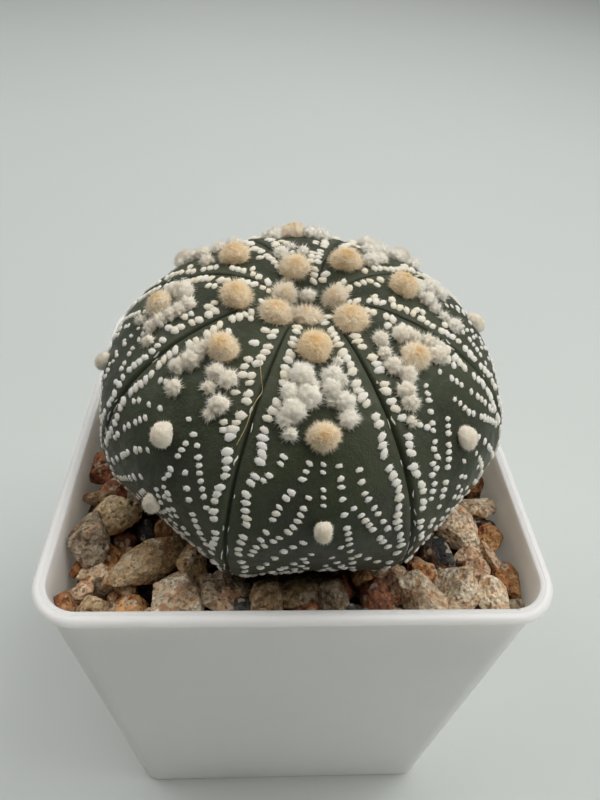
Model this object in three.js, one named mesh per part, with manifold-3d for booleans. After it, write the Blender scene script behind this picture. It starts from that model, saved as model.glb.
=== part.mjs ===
// A potted hanazono star cactus: a tapered square plastic pot, the soil that fills it, a
// dressing of loose gravel, and one eight-ribbed cactus with its wool and its flecks.
// Millimetres, +Z up, origin at the middle of the pot's underside, front of the pot at -Y.
import * as THREE from "three";
import { mergeVertices } from "three/addons/utils/BufferGeometryUtils.js";
import Module from "manifold-3d";

const wasm = await Module();
wasm.setup();

// The pot: widths are measured across the flats, radii at the corners.
const POT_TOP = 75;
const POT_BASE = 64.5;
const POT_HEIGHT = 85;
const POT_WALL = 1.1;
const POT_TOP_CORNER = 6.2;
const POT_BASE_CORNER = 3.8;
const LIP_OUT = 1.05;
const LIP_DEPTH = 1.7;
const FLOOR = 2.6;
const FOOT_RECESS = 1.2;
const FOOT_WIDTH = 2.6;
const FOOT_CHAMFER = 0.7;
const FOOT_SLOPE = 0.4;
const FLOOR_CHAMFER = 0.9;
const MOUTH_CHAMFER = 0.35;
const DRAIN_RADIUS = 2.4;
const DRAIN_SIDES = 12;
const DRAIN_CIRCLE = 17;

// What fills the pot. GAP is the clearance between any two touching pieces.
const GAP = 0.35;
const SOIL_TOP = 70;
const GRAVEL_BED_TOP = 75.4;
const STONE_LEVEL = 77.4;
const STONE_SPACING = 5.5;
const STONE_SMALL = 2.9;
const STONE_LARGE = 4.2;
const STONE_FINE = 3.5;
const STONES_FROM = 24;
const STONE_JITTER = 0.7;
const STONE_LIFT = 1.4;
const FROM_WALL = 1.6;

// The cactus body: a dome over an equator, tucked in below it, and a taproot.
const RIBS = 8;
const BODY_RADIUS = 33;
const BODY_EQUATOR = 93.8;
const BODY_RISE = 22.2;
const BODY_DROP = 22.2;
const BODY_CENTRE = [0.8, -1.5];
const TOP_ROUNDNESS = 0.83;
const LOW_ROUNDNESS = 0.94;
const CROWN_DIP = 4.4;
const CROWN_DIP_WIDTH = 6;
const LEAN = 0.045;
const FRONT_RIB_AZIMUTH = THREE.MathUtils.degToRad(-87.3);
const GROOVE_DEPTH = 2;
const GROOVE_SHOULDER = 0.72;
const GROOVE_FULL_FROM = 15;
const GROOVE_ENDS = [-1.3, -0.7];
const LOW_RIB_FLATNESS = 1.4;
const FLATNESS_FADE = 0.2;
const CHORD_END = 0.93;
const NECK = [
  [12.5, 72.4],
  [8.5, 69],
  [6, 60],
  [3.6, 47],
  [1.4, 38],
  [0, 36.5],
];

// Wool cushions (areoles) of each rib, as millimetres from the crown and place across the rib,
// from -1 at one groove to 1 at the next. The ribs run from the front one round to the right,
// the back and the left.
const AREOLES = [
  [[6, -0.42], [13.2, -0.05], [25.4, 0], [37.7, 0], [51.5, 0]],
  [[9.5, -0.35], [19.3, 0.05], [32.3, -0.03], [47.5, 0]],
  [[4.8, 0.15], [15.2, 0.28], [30.8, 0.25], [46, 0]],
  [[10.4, 0.1], [27.4, 0], [41.5, 0]],
  [[7.4, 0.56], [21, 0.1], [38, 0], [51, 0]],
  [[4.2, 0.82], [14.7, 0.12], [28.5, 0.05], [43, 0]],
  [[11.1, 0.42], [22.6, -0.15], [36, 0.05], [50, 0]],
  [[8.3, 0.12], [17.3, -0.09], [31, -0.03], [42.2, 0.04]],
];
// White side tufts of each rib: millimetres from the crown, place across the rib and diameter.
const TUFTS = [
  [[17.4, -0.33, 3.2], [20.3, -0.2, 3.2], [22.3, -0.42, 3.4], [20.1, -0.5, 2.6], [17.6, 0.25, 2.8],
    [19.4, 0.2, 2.8], [21.3, 0.38, 2.7], [23.4, 0.39, 2.6]],
  [[15.8, 0.3, 2.6], [17.4, 0.5, 2.4], [19.4, 0.62, 2.4], [21.6, 0.5, 2.8], [14.6, -0.22, 2.4],
    [18.6, -0.48, 2.5], [20.4, -0.35, 2.6], [22.2, -0.55, 2.5], [23.8, -0.6, 2.4]],
  [[20.7, 0.53, 2.8], [18.7, -0.04, 2.7], [18, 0.4, 2.4], [23, -0.5, 2.4], [22.6, 0.4, 2.4]],
  [[22.4, 0.5, 3.2], [14, -0.32, 2.8], [18, 0.2, 2.4], [20.6, 0.1, 2.6], [24.6, -0.1, 2.8],
    [22.6, -0.15, 2.6]],
  [[20.8, -0.28, 2.8], [21.6, -0.46, 2.6], [21.2, 0.45, 2.8], [11, 0.84, 2.4], [19.5, -0.6, 2.4]],
  [[19, -0.45, 2.6], [21, -0.2, 2.5], [22.8, 0.05, 2.6], [25, 0.12, 2.6], [19, 0.45, 2.4]],
  [[18.9, -0.3, 3.2], [20.4, -0.4, 2.6], [18, 0.18, 2.4], [19.4, 0.27, 2.4], [20.8, 0.3, 2.4],
    [22.3, 0.33, 2.4], [24, 0.34, 2.4]],
  [[18.6, -0.42, 2.4], [19.8, -0.42, 2.4], [21.2, -0.4, 2.8], [22.8, -0.5, 2.4], [20.5, 0.16, 2.6],
    [20.6, 0.42, 2.7], [24, 0.48, 2.7], [25.3, -0.28, 2.4]],
];
// How far the middle of a cushion or a tuft stands off the skin, as a share of its size.
const CUSHION_LIFT = 0.35;
const TUFT_LIFT = 0.22;
const FLECK_WIDTH = 1.15;
const FLECK_HEIGHT = 0.5;
const FLECK_ROW = 0.78;
const FLECK_STEP = 3.4;
const FLECKS_FROM = 9;
const FLECKS_TO = 58;
const CHEVRONS_FROM = 24;
// Wool and flecks stop above these heights, where the skin turns down into the gravel.
const LOWEST_WOOL = 84.5;
const LOWEST_FLECK = 81.5;

// Each solid's own colour and finish.
const FINISH = {
  pot: { color: 0xe9ebe8, roughness: 0.5 },
  soil: { color: 0x2b1d14, roughness: 1 },
  gravel: { color: 0xa5795a, roughness: 0.85 },
  cactus: { color: 0x3c4634, roughness: 0.75 },
};

// A repeatable random draw from 0 to 1.
function seededRandom(seed) {
  let state = seed;
  return () => {
    state = (state + 0x6d2b79f5) | 0;
    let t = Math.imul(state ^ (state >>> 15), 1 | state);
    t = (t + Math.imul(t ^ (t >>> 7), 61 | t)) ^ t;
    return ((t ^ (t >>> 14)) >>> 0) / 4294967296;
  };
}

// Joins a geometry's shared corners, drops collapsed faces and makes a solid of it.
function solidOf(geometry) {
  const bare = geometry.clone();
  bare.deleteAttribute("normal");
  bare.deleteAttribute("uv");
  const merged = mergeVertices(bare, 1e-3);
  const corners = merged.index.array;
  const kept = [];
  for (let i = 0; i < corners.length; i += 3) {
    const [a, b, c] = corners.slice(i, i + 3);
    if (a !== b && b !== c && c !== a) kept.push(a, b, c);
  }
  const mesh = new wasm.Mesh({
    numProp: 3,
    vertProperties: merged.attributes.position.array,
    triVerts: new Uint32Array(kept),
  });
  const solid = new wasm.Manifold(mesh);
  if (solid.volume() > 0) return solid;
  for (let i = 0; i < kept.length; i += 3) [kept[i], kept[i + 1]] = [kept[i + 1], kept[i]];
  mesh.triVerts = new Uint32Array(kept);
  return new wasm.Manifold(mesh);
}

// The largest body of a solid, without the scraps and sealed pockets that joining leaves.
function mainBody(solid) {
  return solid.decompose().reduce((a, b) => (b.volume() > a.volume() ? b : a));
}

function joinAll(solids) {
  let level = solids;
  while (level.length > 1) {
    const next = [];
    for (let i = 0; i < level.length; i += 2) {
      next.push(i + 1 < level.length ? level[i].add(level[i + 1]) : level[i]);
    }
    level = next;
  }
  return level[0];
}

function meshOf(name, solid) {
  const { vertProperties, triVerts, numProp } = solid.getMesh();
  const position = new Float32Array((vertProperties.length / numProp) * 3);
  for (let i = 0; i * numProp < vertProperties.length; i += 1) {
    position.set(vertProperties.subarray(i * numProp, i * numProp + 3), i * 3);
  }
  const geometry = new THREE.BufferGeometry();
  geometry.setAttribute("position", new THREE.BufferAttribute(position, 3));
  geometry.setIndex(new THREE.BufferAttribute(triVerts, 1));
  geometry.computeVertexNormals();
  const mesh = new THREE.Mesh(geometry, new THREE.MeshStandardMaterial(FINISH[name]));
  mesh.name = name;
  return mesh;
}

// A lathe whose turns are rounded squares: each profile point is [half width, height,
// corner radius].
const CORNER_STEPS = 5;
const LIP_STEPS = 6;
function squareLathe(profile) {
  const turns = 4 * (CORNER_STEPS + 1);
  const outline = profile.map(([half, height]) => new THREE.Vector2(half, height));
  const geometry = new THREE.LatheGeometry(outline, turns);
  const position = geometry.attributes.position;
  for (let turn = 0; turn <= turns; turn += 1) {
    const quarter = Math.floor((turn % turns) / (CORNER_STEPS + 1));
    const step = turn % (CORNER_STEPS + 1);
    const angle = ((quarter + step / CORNER_STEPS) * Math.PI) / 2;
    const middle = ((quarter + 0.5) * Math.PI) / 2;
    profile.forEach(([half, height, corner = 0], row) => {
      const inset = (half - corner) * Math.SQRT2;
      const x = Math.cos(middle) * inset + Math.cos(angle) * corner;
      const y = Math.sin(middle) * inset + Math.sin(angle) * corner;
      position.setXYZ(turn * profile.length + row, x, y, height);
    });
  }
  return solidOf(geometry);
}

// Half width of the pot's cavity, and its corner radius, at a height.
const OUTER_TOP = POT_TOP / 2 - LIP_OUT;
function cavityHalf(z) {
  const taper = (OUTER_TOP - POT_BASE / 2) / POT_HEIGHT;
  return OUTER_TOP - POT_WALL - (POT_HEIGHT - z) * taper;
}
function cavityCorner(z) {
  const corner = THREE.MathUtils.lerp(POT_BASE_CORNER, POT_TOP_CORNER, z / POT_HEIGHT);
  return corner - POT_WALL;
}
function cavityRing(z, inset) {
  return [cavityHalf(z) - inset, z, cavityCorner(z) - inset];
}

function makePot() {
  const half = POT_BASE / 2;
  const lipMiddle = POT_HEIGHT - LIP_DEPTH / 2;
  const foot = half - FOOT_WIDTH;
  const lip = [];
  for (let step = 0; step <= LIP_STEPS; step += 1) {
    const angle = -Math.PI / 2 + (step / LIP_STEPS) * Math.PI;
    const out = Math.cos(angle) * LIP_OUT;
    lip.push([OUTER_TOP + out, lipMiddle + (Math.sin(angle) * LIP_DEPTH) / 2, POT_TOP_CORNER + out]);
  }
  const mouth = -POT_WALL + MOUTH_CHAMFER;
  const profile = [
    [0, FOOT_RECESS],
    [foot, FOOT_RECESS, POT_BASE_CORNER - FOOT_WIDTH],
    [foot + FOOT_SLOPE, 0, POT_BASE_CORNER - FOOT_WIDTH + FOOT_SLOPE],
    [half - FOOT_CHAMFER, 0, POT_BASE_CORNER - FOOT_CHAMFER],
    [half, FOOT_CHAMFER, POT_BASE_CORNER],
    ...lip,
    [OUTER_TOP + mouth, POT_HEIGHT, POT_TOP_CORNER + mouth],
    cavityRing(POT_HEIGHT - MOUTH_CHAMFER, 0),
    cavityRing(FLOOR + FLOOR_CHAMFER, 0),
    cavityRing(FLOOR, FLOOR_CHAMFER),
    [0, FLOOR],
  ];
  let pot = squareLathe(profile);
  const drains = [[0, 0]];
  for (let turn = 0; turn < 4; turn += 1) {
    const angle = ((turn + 0.5) * Math.PI) / 2;
    drains.push([Math.cos(angle) * DRAIN_CIRCLE, Math.sin(angle) * DRAIN_CIRCLE]);
  }
  for (const [x, y] of drains) {
    const drain = new THREE.CylinderGeometry(DRAIN_RADIUS, DRAIN_RADIUS, 3 * FLOOR, DRAIN_SIDES);
    drain.rotateX(Math.PI / 2);
    drain.translate(x, y, FLOOR / 2);
    pot = pot.subtract(solidOf(drain));
  }
  return pot;
}

// A point of the body's profile: u is pi/2 at the crown, 0 at the equator and less below.
function profilePoint(u) {
  const across = Math.abs(Math.cos(u));
  const up = Math.sin(u);
  const roundness = up > 0 ? TOP_ROUNDNESS : LOW_ROUNDNESS;
  const radius = BODY_RADIUS * across ** roundness;
  const dip = up > 0 ? CROWN_DIP * Math.exp(-((radius / CROWN_DIP_WIDTH) ** 2)) : 0;
  const height = BODY_EQUATOR + up * (up > 0 ? BODY_RISE : BODY_DROP) - dip;
  return new THREE.Vector2(radius, height);
}

// How far a rib's face is flattened from a circle towards the chord between its grooves.
function ribFactor(u, across) {
  const flatness = LOW_RIB_FLATNESS / (1 + Math.exp(u / FLATNESS_FADE));
  const halfRib = Math.PI / RIBS;
  const chord = Math.cos(halfRib) / Math.cos(Math.min(Math.abs(across), CHORD_END) * halfRib);
  return 1 - flatness * (1 - chord);
}

function grooveDepth(u, radius, across) {
  const t = Math.max(0, (Math.abs(across) - GROOVE_SHOULDER) / (1 - GROOVE_SHOULDER));
  const atFoot = THREE.MathUtils.smoothstep(u, ...GROOVE_ENDS);
  const fade = Math.min(1, radius / GROOVE_FULL_FROM) * atFoot;
  return GROOVE_DEPTH * fade * t * t;
}

function leaned(point) {
  const pivot = new THREE.Vector3(0, 0, BODY_EQUATOR);
  point.sub(pivot).applyAxisAngle(new THREE.Vector3(1, 0, 0), LEAN).add(pivot);
  return point.add(new THREE.Vector3(...BODY_CENTRE, 0));
}

// A point on the body's skin: the rib's number, the place across it from -1 to 1, and a
// distance that the skin is grown outwards by.
function skinPoint(u, rib, across, grow = 0) {
  const here = profilePoint(u);
  const along = profilePoint(u + 0.01).sub(profilePoint(u - 0.01)).normalize();
  const sunk = grooveDepth(u, here.x, across) - grow;
  const radius = Math.max(0, here.x * ribFactor(u, across) - along.y * sunk);
  const angle = FRONT_RIB_AZIMUTH + ((rib + across / 2) * 2 * Math.PI) / RIBS;
  const height = here.y + along.x * sunk;
  return leaned(new THREE.Vector3(radius * Math.cos(angle), radius * Math.sin(angle), height));
}

// The value of u at a distance along the skin from the crown.
const ALONG = [];
const U_STEP = 0.0058;
for (let step = 0, length = 0; step <= 500; step += 1) {
  const u = Math.PI / 2 - step * U_STEP;
  if (step > 0) length += profilePoint(u).distanceTo(profilePoint(u + U_STEP));
  ALONG.push([length, u]);
}
function uAlong(distance) {
  const next = ALONG.findIndex(([length]) => length >= distance);
  return ALONG[Math.max(0, next)][1];
}

// A place on the skin with the direction that points out of it.
function skinPlace(along, rib, across) {
  const u = uAlong(along);
  const point = skinPoint(u, rib, across);
  const down = skinPoint(u - 0.02, rib, across).sub(point);
  const sideways = skinPoint(u, rib, across + 0.02).sub(point);
  const out = new THREE.Vector3().crossVectors(down, sideways).normalize();
  return { point, out, down: down.normalize() };
}

// The closed skin of the plant with its neck and taproot, grown outwards by a clearance.
// Its rows lie close together round the dimple of the crown and further apart below it.
const ACROSS_STEPS = [-1, -0.86, -0.45, 0, 0.45, 0.86];
const CROWN_US = [1.53, 1.39, 1.25, 1.11];
const SHOULDER_U = 0.92;
const LOWEST_U = -1.12;
const SIDE_ROWS = 10;
function makeBody(grow = 0) {
  const us = [...CROWN_US];
  for (let step = 0; step <= SIDE_ROWS; step += 1) {
    us.push(THREE.MathUtils.lerp(SHOULDER_U, LOWEST_U, step / SIDE_ROWS));
  }
  const rows = 1 + us.length + NECK.length;
  const turns = RIBS * ACROSS_STEPS.length;
  const outline = Array.from({ length: rows }, (_, row) => new THREE.Vector2(1, row));
  const geometry = new THREE.LatheGeometry(outline, turns);
  const position = geometry.attributes.position;
  for (let turn = 0; turn <= turns; turn += 1) {
    const rib = Math.floor((turn % turns) / ACROSS_STEPS.length);
    const across = ACROSS_STEPS[turn % ACROSS_STEPS.length];
    const angle = FRONT_RIB_AZIMUTH + ((rib + across / 2) * 2 * Math.PI) / RIBS;
    const crown = leaned(new THREE.Vector3(0, 0, profilePoint(Math.PI / 2).y + grow));
    position.setXYZ(turn * rows, ...crown);
    us.forEach((u, row) => {
      position.setXYZ(turn * rows + 1 + row, ...skinPoint(u, rib, across, grow));
    });
    NECK.forEach(([radius, height], row) => {
      const grown = radius > 0 ? radius + grow : 0;
      const lower = height - (radius > 0 ? 0 : grow);
      const point = new THREE.Vector3(grown * Math.cos(angle), grown * Math.sin(angle), lower);
      position.setXYZ(turn * rows + 1 + us.length + row, ...leaned(point));
    });
  }
  return solidOf(geometry);
}

// Stands a geometry on the body's facets, with its own Z along the way out of the skin.
const body = makeBody();
const facets = meshOf("cactus", body);
const REACH = 3;
function stand(geometry, place, height) {
  const above = place.point.clone().addScaledVector(place.out, REACH);
  const ray = new THREE.Raycaster(above, place.out.clone().negate());
  const foot = ray.intersectObject(facets)[0].point;
  const basis = new THREE.Matrix4();
  const side = new THREE.Vector3().crossVectors(place.out, place.down);
  basis.makeBasis(place.down, side, place.out);
  basis.setPosition(foot.addScaledVector(place.out, height));
  return geometry.applyMatrix4(basis);
}

// The diameter of a wool cushion: largest on the shoulder, smaller down the side.
function areoleSize(along) {
  if (along < 8) return 3.8;
  if (along < 20) return 4.5;
  return along < 30 ? 4.1 : 3.2;
}

function makeWool(random) {
  const wool = [];
  for (let rib = 0; rib < RIBS; rib += 1) {
    for (const [along, across] of AREOLES[rib]) {
      const place = skinPlace(along, rib, across);
      if (place.point.z < LOWEST_WOOL) continue;
      const size = areoleSize(along) / 2;
      const cushion = new THREE.SphereGeometry(size, 6, 4);
      cushion.rotateX(Math.PI / 2);
      wool.push(solidOf(stand(cushion, place, size * CUSHION_LIFT)));
    }
    for (const [along, across, width] of TUFTS[rib]) {
      const tuft = new THREE.IcosahedronGeometry(width / 2, 0);
      tuft.rotateZ(random() * Math.PI);
      wool.push(solidOf(stand(tuft, skinPlace(along, rib, across), width * TUFT_LIFT)));
    }
  }
  return wool;
}

// Flecks in a row beside each groove, and in chevrons that climb from them to the crest.
function makeFlecks(random) {
  const flecks = [];
  for (let rib = 0; rib < RIBS; rib += 1) {
    for (const side of [-1, 1]) {
      for (let along = FLECKS_FROM; along < FLECKS_TO; along += FLECK_STEP) {
        const branch = Math.round((along - FLECKS_FROM) / FLECK_STEP) % 2;
        const inward = along > CHEVRONS_FROM ? 0.14 + 0.34 * random() : 0.2;
        const across = side * (FLECK_ROW - branch * inward);
        const place = skinPlace(along + 0.8 * random(), rib, across);
        if (place.point.z < LOWEST_FLECK) continue;
        const fleck = new THREE.ConeGeometry(FLECK_WIDTH, FLECK_HEIGHT * 2, 4);
        fleck.rotateX(Math.PI / 2);
        fleck.rotateZ(random() * Math.PI);
        flecks.push(solidOf(stand(fleck, place, 0)));
      }
    }
  }
  return flecks;
}

function makeCactus() {
  const random = seededRandom(11);
  return mainBody(joinAll([body, ...makeWool(random), ...makeFlecks(random)]));
}

function makeSoil(clearance) {
  const soil = squareLathe([
    [0, FLOOR + GAP],
    cavityRing(FLOOR + GAP, GAP + FLOOR_CHAMFER),
    cavityRing(FLOOR + GAP + FLOOR_CHAMFER, GAP),
    cavityRing(SOIL_TOP, GAP),
    [0, SOIL_TOP],
  ]);
  return mainBody(soil.subtract(clearance));
}

// One angular stone, stretched and knocked out of round: a lump of twenty faces, or of eight
// where it is small.
function makeStone(random, radius) {
  const Lump = radius > STONE_FINE ? THREE.IcosahedronGeometry : THREE.OctahedronGeometry;
  const stone = mergeVertices(new Lump(1, 0).deleteAttribute("uv"));
  const position = stone.attributes.position;
  const knocked = new Map();
  for (let i = 0; i < position.count; i += 1) {
    const key = [position.getX(i), position.getY(i), position.getZ(i)]
      .map((value) => value.toFixed(3))
      .join();
    if (!knocked.has(key)) knocked.set(key, 0.82 + 0.34 * random());
    const size = knocked.get(key);
    position.setXYZ(i, position.getX(i) * size, position.getY(i) * size, position.getZ(i) * size);
  }
  stone.scale(radius * (1 + 0.3 * random()), radius, radius * (0.72 + 0.2 * random()));
  stone.rotateX((random() - 0.5) * 1.2);
  stone.rotateY((random() - 0.5) * 1.2);
  stone.rotateZ(random() * Math.PI * 2);
  return stone;
}

function makeGravel(clearance) {
  const random = seededRandom(5);
  const bed = squareLathe([
    [0, SOIL_TOP + GAP],
    cavityRing(SOIL_TOP + GAP, GAP),
    cavityRing(GRAVEL_BED_TOP, GAP),
    [0, GRAVEL_BED_TOP],
  ]);
  const inside = squareLathe([
    [0, SOIL_TOP],
    cavityRing(SOIL_TOP, GAP),
    cavityRing(POT_HEIGHT, GAP),
    [0, POT_HEIGHT],
  ]);
  const stones = [];
  const reach = cavityHalf(GRAVEL_BED_TOP) - FROM_WALL;
  const columns = Math.round((2 * reach) / STONE_SPACING);
  for (let column = 0; column <= columns; column += 1) {
    const shift = column % 2 ? -0.5 : 0;
    for (let row = 0; row <= columns - 2 * shift; row += 1) {
      const x = -reach + ((column + STONE_JITTER * (random() - 0.5)) / columns) * 2 * reach;
      const y = -reach + ((row + shift + STONE_JITTER * (random() - 0.5)) / columns) * 2 * reach;
      const radius = THREE.MathUtils.lerp(STONE_SMALL, STONE_LARGE, random() ** 1.3);
      const height = STONE_LEVEL + STONE_LIFT * (random() - 0.4);
      const stone = makeStone(random, radius);
      const fromPlant = Math.hypot(x - BODY_CENTRE[0], y - BODY_CENTRE[1]);
      if (fromPlant < STONES_FROM) continue;
      stone.translate(x, THREE.MathUtils.clamp(y, -reach, reach), height);
      stones.push(solidOf(stone));
    }
  }
  const gravel = joinAll([bed, ...stones]).intersect(inside);
  return mainBody(gravel.subtract(clearance));
}

const clearance = makeBody(GAP);
const plant = new THREE.Group();
plant.add(meshOf("pot", makePot()));
plant.add(meshOf("soil", makeSoil(clearance)));
plant.add(meshOf("gravel", makeGravel(clearance)));
plant.add(meshOf("cactus", makeCactus()));

export default plant;
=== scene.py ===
# %% [markdown]
# # A potted star cactus, dressed in Blender
#
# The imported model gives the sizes: a square plastic pot, its soil, a dressing of grit and one
# eight-ribbed cactus. This lesson keeps those forms and gives them their real surfaces. The
# cactus gets a smooth ribbed skin, woolly cushions made of thousands of mesh fibres and rows of
# felt flecks. The grit becomes a few hundred single stones of broken granite, and the pot gets
# a finely rounded lip. Lengths are in millimetres until a mesh is made, because that is how
# such a plant is measured. Only the floor and the lamps are given in metres.

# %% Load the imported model
import math

import bmesh
import bpy
import numpy as np
from mathutils import Matrix, Vector, noise


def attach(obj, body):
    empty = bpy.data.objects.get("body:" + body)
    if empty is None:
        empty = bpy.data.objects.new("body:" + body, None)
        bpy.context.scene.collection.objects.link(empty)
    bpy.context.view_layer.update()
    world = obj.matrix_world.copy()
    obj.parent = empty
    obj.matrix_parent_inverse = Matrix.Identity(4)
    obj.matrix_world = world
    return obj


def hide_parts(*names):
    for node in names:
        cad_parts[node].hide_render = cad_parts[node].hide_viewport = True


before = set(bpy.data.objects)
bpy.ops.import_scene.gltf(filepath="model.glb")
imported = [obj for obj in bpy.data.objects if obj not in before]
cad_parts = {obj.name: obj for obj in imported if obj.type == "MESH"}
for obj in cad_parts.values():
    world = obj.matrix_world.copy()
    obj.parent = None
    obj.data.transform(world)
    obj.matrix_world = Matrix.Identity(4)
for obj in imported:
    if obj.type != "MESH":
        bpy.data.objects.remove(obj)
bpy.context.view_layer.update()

# %% [markdown]
# ## Camera
#
# The photograph looks down on the pot from close by, so its walls narrow strongly towards the
# foot. The camera stands where the lip, the walls and the base of the pot line up with the
# picture. It could be turned by hand until it fits, but a place, three angles and a lens can be
# measured once and kept. Blender's camera looks along its own -Z, so the rotation is a matrix
# whose columns are the camera's right, up and backward directions.

# %% Camera
MM = 0.001
CAMERA_PLACE = (-5.4, -77.6, 163.1)
CAMERA_PITCH = math.radians(42.6)
CAMERA_YAW = math.radians(4.66)
CAMERA_ROLL = math.radians(3.97)
LENS = 27.45
SENSOR_WIDTH = 36
NEAREST_SEEN = 10 * MM


def put_in_scene(name, data):
    """A new object for a mesh, a curve, a lamp or a camera, linked into the scene."""
    made = bpy.data.objects.new(name, data)
    bpy.context.scene.collection.objects.link(made)
    return made


def make_camera():
    data = bpy.data.cameras.new("camera")
    data.lens = LENS
    data.sensor_width = SENSOR_WIDTH
    data.clip_start = NEAREST_SEEN
    camera = put_in_scene("camera", data)
    level = math.cos(CAMERA_PITCH)
    forward = Vector((math.sin(CAMERA_YAW) * level, math.cos(CAMERA_YAW) * level, -math.sin(CAMERA_PITCH)))
    flat_right = Vector((math.cos(CAMERA_YAW), -math.sin(CAMERA_YAW), 0))
    flat_up = flat_right.cross(forward)
    right = flat_right * math.cos(CAMERA_ROLL) + flat_up * math.sin(CAMERA_ROLL)
    up = right.cross(forward)
    turn = Matrix((right, up, -forward)).transposed().to_4x4()
    camera.matrix_world = Matrix.Translation(Vector(CAMERA_PLACE) * MM) @ turn
    bpy.context.scene.camera = camera
    return camera


camera = make_camera()
print("camera", [round(value, 4) for value in camera.location], "lens", LENS)

# %% [markdown]
# ## From arrays to pieces
#
# Every piece here is computed as an array of points and an array of faces, because a rule can
# place a thousand flecks faster and more evenly than a hand can. One helper turns such arrays
# into a mesh, stores values that change along the surface (how far along a fibre a point is, or
# how light a stone is) as point attributes, and lets the piece ride on the plant's one body.

# %% Turn arrays into a piece
def make_piece(name, points, faces, material, values=None, normals=None):
    mesh = bpy.data.meshes.new(name)
    corners = faces.shape[1]
    mesh.vertices.add(len(points))
    mesh.vertices.foreach_set("co", (points * MM).astype(np.float32).ravel())
    mesh.loops.add(faces.size)
    mesh.loops.foreach_set("vertex_index", faces.astype(np.int32).ravel())
    mesh.polygons.add(len(faces))
    mesh.polygons.foreach_set("loop_start", np.arange(0, faces.size, corners, dtype=np.int32))
    mesh.update(calc_edges=True)
    mesh.validate()
    mesh.polygons.foreach_set("use_smooth", np.ones(len(mesh.polygons), bool))
    for key, array in (values or {}).items():
        mesh.attributes.new(key, "FLOAT", "POINT").data.foreach_set("value", array.astype(np.float32))
    if normals is not None:
        mesh.normals_split_custom_set_from_vertices(normals)
    mesh.materials.append(material)
    piece = put_in_scene(name, mesh)
    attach(piece, "root")
    print(name, "points", len(points), "triangles", len(faces) * (corners - 2))
    return piece


def grid_faces(rows, columns, closed):
    """Four-cornered faces between the points of a grid, closed round its columns or open."""
    across = columns if closed else columns - 1
    row, column = np.meshgrid(np.arange(rows - 1), np.arange(across), indexing="ij")
    after = (column + 1) % columns
    corners = (row * columns + column, row * columns + after, (row + 1) * columns + after,
               (row + 1) * columns + column)
    return np.stack(corners, axis=-1).reshape(-1, 4)


# %% Gather small meshes
class Pile:
    """Gathers small meshes of triangles with their point values, to be made one piece."""

    def __init__(self):
        self.points, self.faces, self.normals, self.values, self.count = [], [], [], {}, 0

    def add(self, points, faces, normals=None, **values):
        self.points.append(points)
        self.faces.append(faces + self.count)
        if normals is not None:
            self.normals.append(normals)
        for key, value in values.items():
            self.values.setdefault(key, []).append(np.broadcast_to(value, len(points)))
        self.count += len(points)

    def make(self, name, material, slot):
        values = {key: np.concatenate(arrays) for key, arrays in self.values.items()}
        normals = np.concatenate(self.normals) if self.normals else None
        return make_piece(name, np.concatenate(self.points), np.concatenate(self.faces), material,
                          values, normals)


# %% [markdown]
# ## Shared surface effects
#
# Skin, stone, soil and plastic all vary at more than one scale. Two node groups serve them all:
# `mottle` gives soft clouds and `grains` gives small cells, each from the object's own
# coordinates. Image textures could do the same, but they need the surface laid flat, and nodes
# stay sharp at any distance. The groups hand back only masks and values, so that each material
# decides what they mean.

# %% Node helpers
def add(tree, kind, inputs=None, **settings):
    """Adds a shader node: sockets given as inputs are linked, and plain values are set."""
    made = tree.nodes.new("ShaderNode" + kind)
    for key, value in settings.items():
        setattr(made, key, value)
    for key, value in (inputs or {}).items():
        if isinstance(value, bpy.types.NodeSocket):
            tree.links.new(value, made.inputs[key])
        else:
            made.inputs[key].default_value = value
    return made


def new_group(name, inputs, outputs):
    group = bpy.data.node_groups.new(name, "ShaderNodeTree")
    for key, value in inputs.items():
        socket = group.interface.new_socket(key, in_out="INPUT", socket_type="NodeSocketFloat")
        socket.default_value = value
    for key in outputs:
        group.interface.new_socket(key, in_out="OUTPUT", socket_type="NodeSocketFloat")
    return group, group.nodes.new("NodeGroupInput"), group.nodes.new("NodeGroupOutput")


def remap(tree, value, low, high, to_low=0.0, to_high=1.0):
    """A value between low and high, spread smoothly from to_low to to_high."""
    made = add(tree, "MapRange", {"Value": value, "From Min": low, "From Max": high, "To Min": to_low,
                                  "To Max": to_high}, interpolation_type="SMOOTHSTEP")
    return made.outputs["Result"]


def math_node(tree, operation, first, second=0.0):
    made = add(tree, "Math", {0: first, 1: second}, operation=operation)
    return made.outputs[0]


def times(tree, first, second):
    return math_node(tree, "MULTIPLY", first, second)


def blend(tree, factor, first, second, mode="MIX"):
    """Mixes two colours, each a socket or a plain red, green and blue."""
    made = tree.nodes.new("ShaderNodeMix")
    made.data_type = "RGBA"
    made.blend_type = mode
    for index, value in ((0, factor), (6, first), (7, second)):
        if isinstance(value, bpy.types.NodeSocket):
            tree.links.new(value, made.inputs[index])
        elif index == 0:
            made.inputs[index].default_value = value
        else:
            made.inputs[index].default_value = (*value, 1)
    return made.outputs[2]


# %% Groups of clouds and cells
def make_mottle():
    group, start, end = new_group("mottle", {"Scale": 200.0, "Low": 0.4, "High": 0.6}, ["Mask"])
    place = add(group, "TexCoord").outputs["Object"]
    cloud = add(group, "TexNoise", {"Vector": place, "Scale": start.outputs["Scale"], "Detail": 5.0,
                                    "Roughness": 0.55})
    spread = remap(group, cloud.outputs["Fac"], start.outputs["Low"], start.outputs["High"])
    group.links.new(spread, end.inputs["Mask"])
    return group


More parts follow.
